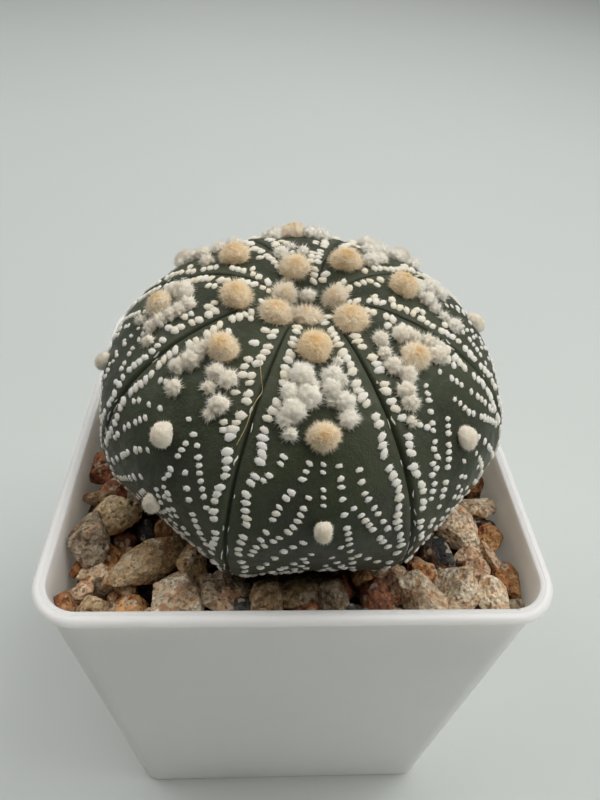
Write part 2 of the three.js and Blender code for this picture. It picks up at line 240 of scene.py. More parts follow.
def make_grains():
    group, start, end = new_group("grains", {"Scale": 2000.0, "Share": 0.3}, ["Mask", "Height", "Lot"])
    place = add(group, "TexCoord").outputs["Object"]
    cells = add(group, "TexVoronoi", {"Vector": place, "Scale": start.outputs["Scale"]})
    lot = add(group, "SeparateColor", {"Color": cells.outputs["Color"]}).outputs["Red"]
    chosen = math_node(group, "LESS_THAN", lot, start.outputs["Share"])
    group.links.new(chosen, end.inputs["Mask"])
    group.links.new(lot, end.inputs["Lot"])
    group.links.new(cells.outputs["Distance"], end.inputs["Height"])
    return group


mottle_group = make_mottle()
grains_group = make_grains()
print("node groups:", [group.name for group in bpy.data.node_groups])


# %% Place the groups in a material
def use_group(tree, group, **inputs):
    made = tree.nodes.new("ShaderNodeGroup")
    made.node_tree = group
    for key, value in inputs.items():
        made.inputs[key].default_value = value
    return made


def mottle(tree, scale, low=0.4, high=0.6):
    return use_group(tree, mottle_group, Scale=scale, Low=low, High=high).outputs["Mask"]


def attribute(tree, name):
    return add(tree, "Attribute", attribute_name=name).outputs["Fac"]


def grains(tree, scale, share):
    """Small cells of which a share is chosen, as a node with its mask, height and lot."""
    return use_group(tree, grains_group, Scale=scale, Share=share)


def new_material(name, sockets):
    """A material whose shader has some sockets set to one value for the whole surface."""
    material = bpy.data.materials.new(name)
    material.use_nodes = True
    tree = material.node_tree
    shader = tree.nodes["Principled BSDF"]
    for key, value in sockets.items():
        shader.inputs[key].default_value = value
    return material, tree, shader


def set_colour(tree, shader, colour):
    tree.links.new(colour, shader.inputs["Base Color"])


def set_bump(tree, shader, height, distance, strength=1.0):
    bump = add(tree, "Bump", {"Height": height, "Distance": distance * MM, "Strength": strength})
    tree.links.new(bump.outputs["Normal"], shader.inputs["Normal"])


def tell_material(material):
    print("material", material.name, "with", len(material.node_tree.nodes), "nodes")


# %% [markdown]
# ## The plant's form
#
# An astrophytum is a low dome with a woolly dimple at its crown. Its ribs are broad and smooth,
# with a sharp crease between each two. The upper part is a circle in plan, and lower down each
# rib flattens between its creases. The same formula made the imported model, only with wider and
# deeper creases, so the fine skin lies where that model's facets lie. `u` runs down the profile
# from a quarter turn at the crown through zero at the equator, and `across` runs over a rib from
# -1 in one crease to 1 in the next. The dome could be sculpted, but with a formula the wool, the
# flecks and the cork can all ask where the skin is.

# %% Sizes of the plant
RIBS = 8
BODY_RADIUS = 33.0
BODY_EQUATOR = 93.8
BODY_RISE = 22.2
BODY_DROP = 22.2
BODY_CENTRE = (0.8, -1.5)
TOP_ROUNDNESS = 0.83
LOW_ROUNDNESS = 0.94
CROWN_DIP = 4.4
CROWN_DIP_WIDTH = 6.0
LEAN = 0.045
FRONT_RIB_AZIMUTH = math.radians(-87.3)
GROOVE_DEPTH = 0.85
GROOVE_SHOULDER = 0.935
GROOVE_FULL_FROM = 15.0
GROOVE_FADES_BELOW = -0.7
LOW_RIB_FLATNESS = 1.4
FLATNESS_FADE = 0.2
CHORD_END = 0.93
PROFILE_END = -1.3
print("plant:", RIBS, "ribs,", 2 * BODY_RADIUS, "mm across")


# %% Formula of the skin
def smooth_step(value, low, high):
    t = np.clip((value - low) / (high - low), 0, 1)
    return t * t * (3 - 2 * t)


def profile(u):
    """Radius and height of the profile at u."""
    up = np.sin(u)
    top = up > 0
    radius = BODY_RADIUS * np.abs(np.cos(u)) ** np.where(top, TOP_ROUNDNESS, LOW_ROUNDNESS)
    dip = np.where(top, CROWN_DIP * np.exp(-((radius / CROWN_DIP_WIDTH) ** 2)), 0)
    height = BODY_EQUATOR + up * np.where(top, BODY_RISE, BODY_DROP) - dip
    return radius, height


def skin_point(u, rib, across, grow=0.0):
    """Points on the skin, grown outwards by a distance."""
    u, rib, across = np.broadcast_arrays(np.asarray(u, float), rib, across)
    radius, height = profile(u)
    ahead_radius, ahead_height = profile(u + 0.01)
    back_radius, back_height = profile(u - 0.01)
    step_radius, step_height = ahead_radius - back_radius, ahead_height - back_height
    length = np.hypot(step_radius, step_height)
    half_rib = math.pi / RIBS
    chord = math.cos(half_rib) / np.cos(np.minimum(np.abs(across), CHORD_END) * half_rib)
    flatness = LOW_RIB_FLATNESS / (1 + np.exp(u / FLATNESS_FADE))
    shoulder = np.maximum(0, (np.abs(across) - GROOVE_SHOULDER) / (1 - GROOVE_SHOULDER))
    fade = np.minimum(1, radius / GROOVE_FULL_FROM) * smooth_step(u, PROFILE_END, GROOVE_FADES_BELOW)
    sunk = GROOVE_DEPTH * fade * shoulder ** 2 - grow
    out = np.maximum(0, radius * (1 - flatness * (1 - chord)) - step_height / length * sunk)
    level = height + step_radius / length * sunk - BODY_EQUATOR
    angle = FRONT_RIB_AZIMUTH + (rib + across / 2) * 2 * half_rib
    x, y = out * np.cos(angle), out * np.sin(angle)
    leaned_y = y * math.cos(LEAN) - level * math.sin(LEAN)
    leaned_z = y * math.sin(LEAN) + level * math.cos(LEAN)
    return np.stack((x + BODY_CENTRE[0], leaned_y + BODY_CENTRE[1], leaned_z + BODY_EQUATOR), axis=-1)


# %% Distances along the skin
profile_us = np.linspace(math.pi / 2, PROFILE_END, 2000)
profile_steps = np.hypot(*(np.diff(part) for part in profile(profile_us)))
profile_alongs = np.concatenate(([0], np.cumsum(profile_steps)))


def u_along(along):
    """The value of u at a distance along the skin from the crown."""
    return np.interp(along, profile_alongs, profile_us)


def half_rib_width(along):
    return profile(u_along(along))[0] * math.pi / RIBS


def unit(vectors):
    return vectors / np.maximum(np.linalg.norm(vectors, axis=-1, keepdims=True), 1e-9)


def skin_place(along, rib, across):
    """Points on the skin with the directions out of it, down it and sideways."""
    u = u_along(along)
    point = skin_point(u, rib, across)
    down = unit(skin_point(u - 0.02, rib, across) - point)
    sideways = skin_point(u, rib, np.asarray(across) + 0.02) - point
    out = unit(np.cross(down, sideways))
    return point, out, down, np.cross(out, down)


print("skin from crown to equator, in mm:", round(float(np.interp(0, -profile_us, profile_alongs)), 1))

# %% [markdown]
# ## Skin
#
# The skin of this plant is dark green, matt and finely grained. It turns greyer towards each
# crease, has a purple-grey bloom low on the ribs and cream cork at its foot, and its creases
# are painted blackish as painted shade.
# These tones could be painted by hand. Here they are mixed from the place on the rib, which the
# mesh carries as two point values, so that each tone follows the form from all sides.

# %% Skin material
SKIN_DARK = (0.022, 0.027, 0.011)
SKIN_GREEN = (0.042, 0.051, 0.022)
SKIN_GREY = (0.074, 0.082, 0.046)
SKIN_PURPLE = (0.042, 0.042, 0.036)
# Painted shade: the colour that turns each crease nearly black, where shade falls into it.
SKIN_CREASE_SHADE = (0.010, 0.014, 0.006)
CORK = (0.52, 0.47, 0.38)
GREY_ACROSS = (0.15, 0.8)
CREASE_SHADE_ACROSS = (0.988, 0.998)
BLOOM_ALONG = (27, 36)
CORK_ALONG = (58, 63)


def make_skin_material():
    material, tree, shader = new_material("cactus_skin", {
        "Specular IOR Level": 0.3, "Sheen Weight": 0.06, "Sheen Roughness": 0.4})
    across = math_node(tree, "ABSOLUTE", attribute(tree, "across"))
    along = attribute(tree, "along")
    colour = blend(tree, mottle(tree, 90, 0.35, 0.65), SKIN_DARK, SKIN_GREEN)
    colour = blend(tree, remap(tree, across, *GREY_ACROSS, 0.0, 0.45), colour, SKIN_GREY)
    bloom = times(tree, remap(tree, along, *BLOOM_ALONG), mottle(tree, 120, 0.42, 0.66))
    colour = blend(tree, times(tree, bloom, 0.7), colour, SKIN_PURPLE)
    pores = grains(tree, 3600.0, 0.28)
    colour = blend(tree, times(tree, pores.outputs["Mask"], 0.22), colour, SKIN_GREY)
    # Painted shade: the last share of each rib towards its crease is coloured nearly black.
    colour = blend(tree, remap(tree, across, *CREASE_SHADE_ACROSS), colour, SKIN_CREASE_SHADE)
    foot = times(tree, remap(tree, along, *CORK_ALONG), mottle(tree, 300, 0.4, 0.6))
    set_colour(tree, shader, blend(tree, foot, colour, CORK))
    tree.links.new(remap(tree, mottle(tree, 500), 0, 1, 0.5, 0.68), shader.inputs["Roughness"])
    fine = math_node(tree, "ADD", pores.outputs["Height"], mottle(tree, 900, 0.3, 0.7))
    set_bump(tree, shader, fine, 0.06, 0.6)
    return material


skin_material = make_skin_material()
tell_material(skin_material)

# %% [markdown]
# The skin is a grid: rows run down the profile and columns run round the plant, closer
# together near each crease where the form turns fast. It ends under the grit, on the neck. A
# faint swelling keeps the dome from looking turned on a lathe. A smoothed cage with few points
# would be lighter, but it would round off the narrow creases.

# %% Skin mesh
COLUMNS_PER_RIB = 34
COLUMNS_CROWDING = 1.5
SKIN_ROWS = 190
FIRST_ROW_ALONG = 0.15
LOWEST_U = -1.2
SWELL_SCALE = 0.16
SWELL_HEIGHT = 0.16


def rib_columns():
    even = np.arange(COLUMNS_PER_RIB) / COLUMNS_PER_RIB * 2 - 1
    return np.sign(even) * (1 - (1 - np.abs(even)) ** COLUMNS_CROWDING)


def make_skin():
    across = np.tile(rib_columns(), RIBS)
    rib = np.repeat(np.arange(RIBS), COLUMNS_PER_RIB)
    last_along = np.interp(-LOWEST_U, -profile_us, profile_alongs)
    along = np.linspace(FIRST_ROW_ALONG, last_along, SKIN_ROWS)
    u = u_along(along)
    points = skin_point(u[:, None], rib[None, :], across[None, :]).reshape(-1, 3)
    middle = np.array((*BODY_CENTRE, BODY_EQUATOR))
    swell = [noise.fractal(Vector(point) * SWELL_SCALE, 0.9, 2.0, 3) for point in points]
    points += unit(points - middle) * np.array(swell)[:, None] * SWELL_HEIGHT
    faces = grid_faces(SKIN_ROWS, len(rib), closed=True)[:, ::-1]
    values = {"across": np.tile(across, SKIN_ROWS), "along": np.repeat(along, len(rib))}
    return make_piece("skin", points, faces, skin_material, values)


skin = make_skin()
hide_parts("cactus")

# %% [markdown]
# ## Wool
#
# Each crest carries a row of areoles: velvet cushions, tan round the crown and paler further
# down. This plant was bred for the white tufts that crowd beside them. A cushion or tuft here
# is a solid pelt: a ball whose points are pushed out into locks and roughened one by one, with
# loose hairs standing from it, each a spike of three thin triangles. Particle hair would be
# quicker to comb, but a mesh can be kept, measured and printed. The pelt is pale where it
# stands out and darker in its hollows and at the roots of its hairs, which is painted shade,
# and its shading directions lean towards the ball's, so that it is lit like one soft surface.

# %% Wool material
# The root colours are partly painted shade: they darken the hairs' roots and the pelt's hollows, and give
# a cushion's middle its own deeper tone.
WOOL_TAN_MIDDLE_AND_SHADE = (0.70, 0.36, 0.10)
WOOL_TAN_TIP = (0.99, 0.74, 0.38)
WOOL_WHITE_MIDDLE_AND_SHADE = (0.985, 0.91, 0.74)
WOOL_WHITE_TIP = (0.998, 0.965, 0.855)


def make_wool_material():
    """Colour from tone (0 white, 1 tan) and tip (0 at the root, 1 at the end, lower as painted shade)."""
    material, tree, shader = new_material("wool", {
        "Roughness": 0.9, "Specular IOR Level": 0.1, "Sheen Weight": 0.2, "Subsurface Weight": 0.12,
        "Subsurface Radius": (1.0, 1.0, 1.0), "Subsurface Scale": 0.35 * MM})
    tip = attribute(tree, "tip")
    tan = blend(tree, tip, WOOL_TAN_MIDDLE_AND_SHADE, WOOL_TAN_TIP)
    white = blend(tree, tip, WOOL_WHITE_MIDDLE_AND_SHADE, WOOL_WHITE_TIP)
    set_colour(tree, shader, blend(tree, attribute(tree, "tone"), white, tan))
    set_bump(tree, shader, grains(tree, 6000.0, 0.5).outputs["Height"], 0.06, 0.8)
    return material


wool_material = make_wool_material()
tell_material(wool_material)

# %% [markdown]
# The wool could be scattered by chance, but on a real plant it follows the crests. So the places
# are written down: each areole and tuft lies at millimetres from the crown down its rib, and at
# a share of the way from the crest to the crease. A tuft's third number is its diameter.

# %% Places of the wool
AREOLES = [
    [(6.0, -0.42), (13.2, -0.05), (25.4, 0), (37.7, 0)],
    [(9.5, -0.35), (19.3, 0.05), (32.3, -0.03)],
    [(4.8, 0.15), (15.2, 0.28), (30.8, 0.25), (46, 0)],
    [(10.4, 0.1), (27.4, 0), (41.5, 0)],
    [(7.4, 0.56), (21, 0.1), (38, 0), (51, 0)],
    [(4.2, 0.82), (14.7, 0.12), (28.5, 0.05), (43, 0)],
    [(11.1, 0.42), (22.6, -0.15), (36, 0.05), (50, 0)],
    [(8.3, 0.12), (17.3, -0.09), (31, -0.03), (42.2, 0.04)],
]
TUFTS = [
    [(17.4, -0.33, 3.2), (18.8, -0.16, 2.2), (20.3, -0.2, 3.2), (22.3, -0.42, 3.4), (20.1, -0.5, 2.6),
     (23.4, -0.52, 2.4), (15.6, 0.45, 1.4), (17.6, 0.25, 2.8), (19.4, 0.2, 2.8), (18.4, 0.42, 1.8),
     (21.3, 0.38, 2.7), (21, 0.18, 1.5), (23.4, 0.39, 2.6), (25.2, -0.43, 1.9)],
    [(15.8, 0.3, 2.6), (17.4, 0.5, 2.2), (19.4, 0.62, 2.2), (21.6, 0.5, 2.8), (14.6, -0.22, 2.4),
     (16.5, -0.42, 1.9), (18.6, -0.48, 2.5), (20.4, -0.35, 2.6), (22.2, -0.55, 2.5),
     (23.8, -0.6, 2.4), (20.8, 0.72, 1.8), (26, -0.72, 1.5)],
    [(20.7, 0.53, 2.8), (18.7, -0.04, 2.7), (19.8, -0.22, 2.0), (18, 0.4, 2.2), (23, -0.5, 2.4),
     (21.2, -0.36, 1.7), (22.6, 0.4, 2.4)],
    [(22.4, 0.5, 3.2), (14, -0.32, 2.8), (18, 0.2, 2.4), (20.6, 0.1, 2.6), (22.6, -0.15, 2.6),
     (24.6, -0.1, 2.8), (16.4, -0.3, 2.4), (25.2, -0.42, 2.4), (23.4, 0.3, 2.6)],
    [(20.8, -0.28, 2.8), (21.6, -0.46, 2.6), (21.2, 0.45, 2.8), (20.4, 0.66, 2.2),
     (11, 0.84, 2.4), (12.8, 0.35, 1.5), (11.2, -0.03, 1.8), (20, 0.5, 2.6),
     (19.5, -0.6, 2.4), (2.6, -0.38, 2.4)],
    [(19, -0.45, 2.6), (21, -0.2, 2.5), (22.8, 0.05, 2.6), (25, 0.12, 2.6), (20.4, -0.5, 2.2),
     (26.6, 0.28, 1.8), (19, 0.45, 2.2)],
    [(18.9, -0.3, 3.2), (20.4, -0.4, 2.6), (18, 0.18, 2.4), (19.4, 0.27, 2.3), (20.8, 0.3, 2.3),
     (22.3, 0.33, 2.3), (24, 0.34, 2.2), (24.9, 0.62, 1.9), (26, 0, 1.8)],
    [(18.6, -0.42, 2.3), (19.8, -0.42, 2.4), (21.2, -0.4, 2.8), (22.8, -0.5, 2.4), (20.5, 0.16, 2.6),
     (20.6, 0.42, 2.7), (22.6, 0.2, 1.9), (24, 0.48, 2.7), (25.6, 0.42, 1.6), (25.3, -0.28, 2.3)],
]


def areole_size(along):
    """Diameter of a cushion: small in the very middle, largest round it, smaller down the crest."""
    return float(np.interp(along, (4, 9, 14, 19, 25, 31, 37), (3.8, 4.9, 4.7, 4.4, 4.1, 3.3, 2.8)))


print("cushions:", sum(map(len, AREOLES)), "tufts:", sum(map(len, TUFTS)))

# %% Balls
def ball(times):
    """Directions and triangles of a ball: an icosahedron whose faces are split several times."""
    edit = bmesh.new()
    bmesh.ops.create_icosphere(edit, subdivisions=times, radius=1)
    directions = np.array([vertex.co for vertex in edit.verts])
    faces = np.array([[vertex.index for vertex in face.verts] for face in edit.faces])
    edit.free()
    return unit(directions), faces


def dome(directions, faces, lowest):
    """The part of a ball above a lowest height."""
    faces = faces[np.all(directions[faces][..., 2] > lowest, axis=1)]
    kept, numbers = np.unique(faces, return_inverse=True)
    return directions[kept], numbers.reshape(faces.shape)


def point_normals(points, faces):
    corners = points[faces]
    flat = np.cross(corners[:, 1] - corners[:, 0], corners[:, 2] - corners[:, 0])
    normals = np.zeros_like(points)
    for corner in range(3):
        np.add.at(normals, faces[:, corner], flat)
    return unit(normals)


DOME_FOOT = -0.55
BALLS = {detail: ball(detail) for detail in (3, 4, 5)}
DOMES = {detail: dome(*BALLS[detail], DOME_FOOT) for detail in (4, 5)}
print("points of the domes:", {detail: len(found[0]) for detail, found in DOMES.items()})

# %% Hairs
THIRDS = np.arange(3) / 3 * 2 * math.pi
HAIR_BEND = 0.1
HAIR_WIDTH = 0.065
HAIR_ROUNDNESS = 0.6
GOLDEN_TURN = 2.39996


def hairs(random, roots, directions, lengths, width, shading):
    """Spikes of three triangles, one for each root, with their normals and tips."""
    count = len(roots)
    first = unit(np.cross(directions, random.normal(size=(count, 3))))
    second = np.cross(directions, first)
    around = first[:, None] * np.cos(THIRDS)[:, None] + second[:, None] * np.sin(THIRDS)[:, None]
    curl = random.normal(size=(count, 3)) * (lengths * HAIR_BEND)[:, None]
    tips = roots + directions * lengths[:, None] + curl
    points = np.concatenate((roots[:, None] + around * width / 2, tips[:, None]), axis=1)
    normals = np.concatenate((shading[:, None] + around * HAIR_ROUNDNESS, shading[:, None]), axis=1)
    faces = np.arange(count)[:, None, None] * 4 + np.array([(0, 1, 3), (1, 2, 3), (2, 0, 3)])
    return points.reshape(-1, 3), faces.reshape(-1, 3), unit(normals.reshape(-1, 3))


def dome_directions(random, count, lowest):
    """Directions spread evenly over a dome, from straight up down to a lowest height."""
    height = 1 - (np.arange(count) + random.random(count)) / count * (1 - lowest)
    turn = np.arange(count) * GOLDEN_TURN + random.random(count)
    flat = np.sqrt(np.maximum(0, 1 - height ** 2))
    return np.stack((flat * np.cos(turn), flat * np.sin(turn), height), axis=-1)


# %% One cushion or tuft
# The pelt gives up a share of the hairs' reach, and its middle stands out of the skin by a share
# of its own half height.
ROOM_FOR_HAIRS = 0.35
STANDS_OUT = 0.32
LUMPS = 4
LUMP_TURNS = 3.4
LUMP_HEIGHT = 0.05
LOWEST_LOCK = -0.3
LOWEST_HAIR = -0.45
LOCK_NARROWNESS = 1.2
TONE_FROM_MIDDLE = (0.1, 0.85)
# Tip values of a hair's three root points and its end: the lower roots are painted shade.
HAIR_TIPS = (0.8, 0.8, 0.8, 1)


def add_wool(pile, random, place, size, tones, count, reach, detail, locks, lock_reach, grain):
    """A rough solid pelt drawn out into locks, and loose hairs that stand from it."""
    point, out, down, side = place
    axes = np.stack((down, side, out))
    half = size / 2 - reach * ROOM_FOR_HAIRS
    centre = point + out * half[2] * STANDS_OUT
    half *= random.uniform(0.93, 1.07, 3)
    lump_ways = unit(random.normal(size=(LUMPS, 3))) * LUMP_TURNS
    phase = random.uniform(0, 6, LUMPS)
    lock_ways = dome_directions(random, locks, LOWEST_LOCK)

    def lock_lift(directions):
        return np.exp((np.max(directions @ lock_ways.T, axis=1) - 1) * locks * LOCK_NARROWNESS)

    def surface(directions):
        lump = 1 + LUMP_HEIGHT * np.sin(directions @ lump_ways.T + phase).sum(axis=1)
        return directions * (half * lump[:, None] + lock_reach * lock_lift(directions)[:, None])

    def tone(directions):
        away = np.hypot(directions[:, 0], directions[:, 1])
        return np.interp(away, TONE_FROM_MIDDLE, tones)

    directions, faces = DOMES[detail]
    rough = random.normal(size=len(directions))
    points = surface(directions) + directions * rough[:, None] * grain
    soft = unit(point_normals(points, faces) + directions * 0.7 + (0, 0, 0.35))
    # The pelt's tip value paints shade: lower where its points sink between the locks and grains, and
    # lower in the tan middle, which is the wool's own deeper tone.
    middle = np.exp(-np.sum((directions[:, :2] / 0.3) ** 2, axis=1)) * np.mean(tones)
    tip = np.clip(0.5 + 0.25 * rough + 0.3 * lock_lift(directions) - 0.6 * middle, 0, 1)
    pile.add(centre + points @ axes, faces, soft @ axes, tone=tone(directions), tip=tip)
    directions = dome_directions(random, count, LOWEST_HAIR)
    nearest = lock_ways[np.argmax(directions @ lock_ways.T, axis=1)]
    ways = unit(directions + nearest * 0.5 + random.normal(size=(count, 3)) * 0.22)
    lengths = random.uniform(0.35, 1, count) * reach
    points, faces, normals = hairs(random, centre + surface(directions) * 0.97 @ axes, ways @ axes,
                                   lengths, HAIR_WIDTH, unit(directions * 0.5 + (0, 0, 0.7)) @ axes)
    shade = np.clip(tone(directions) + random.normal(size=count) * 0.1, 0, 1)
    pile.add(points, faces, normals, tone=np.repeat(shade, 4), tip=np.tile(HAIR_TIPS, count))


# %% Cushions and tufts
# A form is the width down the rib, across it and out of it, as shares of the diameter.
WOOL_SEED = 7
CUSHION_HAIRS = 1000
CUSHION_FORM = np.array((0.98, 1.08, 0.84))
CUSHION_PELT = {"detail": 5, "locks": 90, "lock_reach": 0.14, "grain": 0.06}
LOW_CUSHION_FROM = 30
LOW_CUSHION_REACH = 0.45
LOW_CUSHION_FORM = np.array((1.15, 0.94, 0.9))
LOW_CUSHION_PELT = {"detail": 4, "locks": 60, "lock_reach": 0.06, "grain": 0.05}
TUFT_HAIRS = 420
TUFT_REACH = 0.9
TUFT_FORM = np.array((1, 1, 0.95))
TUFT_PELT = {"detail": 4, "locks": 18, "lock_reach": 0.35, "grain": 0.07}
WHITEST_RIBS = (0, 2, 3, 4)


def cushion_tones(along):
    """How tan a cushion is in its middle and at its rim."""
    return (float(np.interp(along, (4, 9, 14, 26, 31), (0.65, 0.95, 1.0, 0.88, 0.3))),
            float(np.interp(along, (4, 9, 14, 20, 26, 31), (0.35, 0.6, 0.7, 0.45, 0.55, 0.2))))


def cushion_reach(along):
    """How far the loose hairs stand out: furthest in the middle of the crown."""
    return float(np.interp(along, (4, 9, 14), (1.3, 1.1, 0.85)))


def make_wool():
    random = np.random.default_rng(WOOL_SEED)
    cushions, tufts = Pile(), Pile()
    for rib in range(RIBS):
        for along, across in AREOLES[rib]:
            width = areole_size(along)
            place, tones = skin_place(along, rib, across), cushion_tones(along)
            if along < LOW_CUSHION_FROM:
                add_wool(cushions, random, place, width * CUSHION_FORM, tones, CUSHION_HAIRS,
                         cushion_reach(along), **CUSHION_PELT)
            else:
                add_wool(cushions, random, place, width * LOW_CUSHION_FORM, tones,
                         CUSHION_HAIRS // 2, LOW_CUSHION_REACH, **LOW_CUSHION_PELT)
        tones = (0.12, 0.04) if rib in WHITEST_RIBS else (0.26, 0.14)
        for along, across, width in TUFTS[rib]:
            count = int(TUFT_HAIRS * (width / 3) ** 2)
            add_wool(tufts, random, skin_place(along, rib, across), width * TUFT_FORM, tones,
                     count, TUFT_REACH, **TUFT_PELT)
    cushions.make("wool_cushions", wool_material, "cactus_skin")
    tufts.make("wool_tufts", wool_material, "cactus_skin")


make_wool()

# %% [markdown]
# ## Felt flecks
#
# What makes a star cactus white-dotted is felt: tiny pads of matted hair, about a millimetre
# wide. They stand in a close row beside each crease, with a looser second row between the crown
# and the tufts, and in arcs that start beside the crest and sweep down and outwards until they
# meet the row. Felt could be painted as white dots, but then it would stay flat at the edge of
# the plant. The arcs are drawn by a rule with a seeded draw, and those of the front ribs start
# where the photograph shows them.

# %% Fleck material
FELT_ROOT = (0.66, 0.61, 0.50)
FELT_TIP = (0.93, 0.91, 0.84)
FELT_TAN = (0.88, 0.76, 0.50)


def make_fleck_material():
    material, tree, shader = new_material("felt", {
        "Roughness": 0.85, "Specular IOR Level": 0.15, "Subsurface Weight": 0.3,
        "Subsurface Radius": (1.0, 0.9, 0.8), "Subsurface Scale": 0.3 * MM})
    colour = blend(tree, attribute(tree, "tip"), FELT_ROOT, FELT_TIP)
    set_colour(tree, shader, blend(tree, attribute(tree, "tone"), colour, FELT_TAN))
    set_bump(tree, shader, grains(tree, 9000.0, 0.5).outputs["Height"], 0.05, 0.8)
    return material


fleck_material = make_fleck_material()
tell_material(fleck_material)

# %% Arcs of the front ribs
# Arcs of the front rib and its neighbours, as (rib, side): each arc is a list of (millimetres
# from the crown, millimetres from the crest), and it goes on in its last direction. The one arc
# of three stops on the crest itself ends with its last stop.
FRONT_ARCS = {
    (0, -1): [[(24.9, 4), (28.8, 5.1), (31.5, 7.6)], [(28.7, 1.7), (30.9, 2.8), (34, 5.3), (40.5, 8.2)],
              [(33, 1.9), (37, 3.5), (38.7, 5.1), (41.5, 8.2)], [(39.9, 2.5), (41.5, 4.8), (44.6, 6.7)],
              [(28.8, 0), (31.3, 0.1), (34.4, 0)]],
    (0, 1): [[(29.1, 2), (34.4, 2.4), (39.1, 3.4)], [(29.9, 4.5), (32.7, 5), (36, 7)],
             [(34.8, 3.8), (36.4, 5.2), (40, 7.6)], [(41.2, 2.6), (43.4, 5)]],
    (7, 1): [[(25.7, 6.1), (27.9, 7.5), (32.2, 10.8)], [(27.4, 1.8), (30, 5), (34.5, 7.8)],
             [(30.3, 3.2), (34.7, 2.7), (38.2, 2.4), (41.9, 3.9)], [(33.8, 4.9), (38.5, 7.4)]],
    (7, -1): [[(25.2, 3.6), (26.4, 6.6), (28, 9.4)], [(28.6, 2.9), (30, 6.9), (31.5, 8.6)],
              [(31, 4.4), (34.2, 7.1), (37, 8.8)], [(34.3, 1.8), (36, 4.4), (38.5, 6.4)],
              [(39, 2), (41.5, 4.6)]],
    (1, -1): [[(26.2, 6.7), (27.6, 5.2), (30.9, 5.4), (35.4, 8.3)], [(23.1, 1.3), (26.6, 3.5)],
              [(28.4, 1.5), (30.3, 2.8), (34.2, 5.1), (38.2, 7.5)], [(35.2, 1.8), (38, 3.6)]],
    (1, 1): [[(23.1, 2.4), (28.3, 5.3), (30.4, 6.6)], [(27.2, 1.6), (30.2, 2.9), (32.9, 5.5)],
             [(33.4, 2.2), (36.5, 4.4)]],
}
print("arcs placed by hand:", sum(len(arcs) for arcs in FRONT_ARCS.values()))

# %% Rows and arcs of flecks
# How far the row beside a crease keeps from it, where it isn't the usual distance.
ROW_DISTANCE = {(0, -1): 2.3, (0, 1): 2.1, (1, -1): 1.4, (7, 1): 1.6}
USUAL_ROW_DISTANCE = 1.7
LAST_FLECK = 62.0
SECOND_ROW_END = 25
ARC_STEPS = (1.0, 1.1, 1.6, 2.2)
SECOND_ROW_STEPS = (1.0, 1.1, 2.6, 3.8)


def row_distance(rib, side):
    return ROW_DISTANCE.get((rib, side), USUAL_ROW_DISTANCE)


def arcs_of(random, rib, side):
    """The arcs of one half of a rib, with those that only other views see filled in."""
    arcs = list(FRONT_ARCS.get((rib, side), []))
    along = max(arc[0][0] for arc in arcs) + 2.6 if arcs else random.uniform(22.5, 25)
    while along < LAST_FLECK - 3:
        crest = random.uniform(0.9, 2.2)
        arcs.append([(along, crest), (along + 3, crest + random.uniform(1, 2.6))])
        along += random.uniform(2.4, 3.3)
    return arcs


def walk_arc(random, arc, rib, side):
    """Flecks along an arc in ones, twos and threes, down to the row beside the crease."""
    way = [np.array(stop, float) for stop in arc]
    way.append(way[-1] + unit(way[-1] - way[-2]) * 30)
    stops = np.concatenate(([0], np.cumsum([math.dist(*pair) for pair in zip(way, way[1:])])))
    travelled, flecks = 0.0, []
    while True:
        along = np.interp(travelled, stops, [stop[0] for stop in way])
        away = np.interp(travelled, stops, [stop[1] for stop in way])
        half = half_rib_width(along)
        if along > LAST_FLECK or away > half - row_distance(rib, side) - 0.9:
            return flecks
        if len(arc) == 3 and arc[0][1] == 0 and along > arc[-1][0] + 0.5:
            return flecks
        size = random.uniform(0.9, 1.12) * float(np.interp(away, (0, 3), (0.72, 1)))
        flecks.append((along, rib, side * away / half, size))
        travelled += random.choice(ARC_STEPS)


def walk_row(random, rib, side):
    """Flecks beside a crease, in groups of two to five that touch."""
    along, left, flecks = 5.0 + random.random(), 3, []
    while along < LAST_FLECK + 4:
        half = half_rib_width(along)
        keep = row_distance(rib, side) + 0.35 * math.sin(along * 0.7 + rib * 2)
        share = float(np.interp(along, (8, 16, 30, 45), (0.9, 1, 0.95, 0.75)))
        size = random.uniform(1.25, 1.65) * share
        flecks.append((along, rib, side * (1 - min(keep, half * 0.34) / half), size))
        left -= 1
        along += random.uniform(0.92, 1.08) if left > 0 else random.uniform(1.3, 2.1)
        left = left if left > 0 else random.integers(2, 6)
    return flecks


def walk_second_row(random, rib, side):
    """Single flecks and pairs further from the crease, between the crown and the tufts."""
    along, flecks = random.uniform(9, 12), []
    while along < SECOND_ROW_END:
        half = half_rib_width(along)
        keep = min(random.uniform(2.9, 3.6), half * 0.62)
        flecks.append((along, rib, side * (1 - keep / half), random.uniform(1.1, 1.5)))
        along += random.choice(SECOND_ROW_STEPS)
    return flecks


# %% Flecks clear of the wool
CUSHION_MARGIN = 0.4
TUFT_MARGIN = 0.15
APART = 0.85
APART_LOW = 1.1
LOW_FLECKS_FROM = 44


def clear_of_wool(along, rib, across, size):
    """Whether a fleck lies clear of the cushions and tufts of its rib."""
    away = across * half_rib_width(along)
    wool = [(*areole, areole_size(areole[0]), CUSHION_MARGIN) for areole in AREOLES[rib]]
    wool += [(*tuft, TUFT_MARGIN) for tuft in TUFTS[rib]]
    for other, place, width, margin in wool:
        beside = away - place * half_rib_width(other)
        if math.hypot(along - other, beside) < width / 2 + size * margin:
            return False
    return True


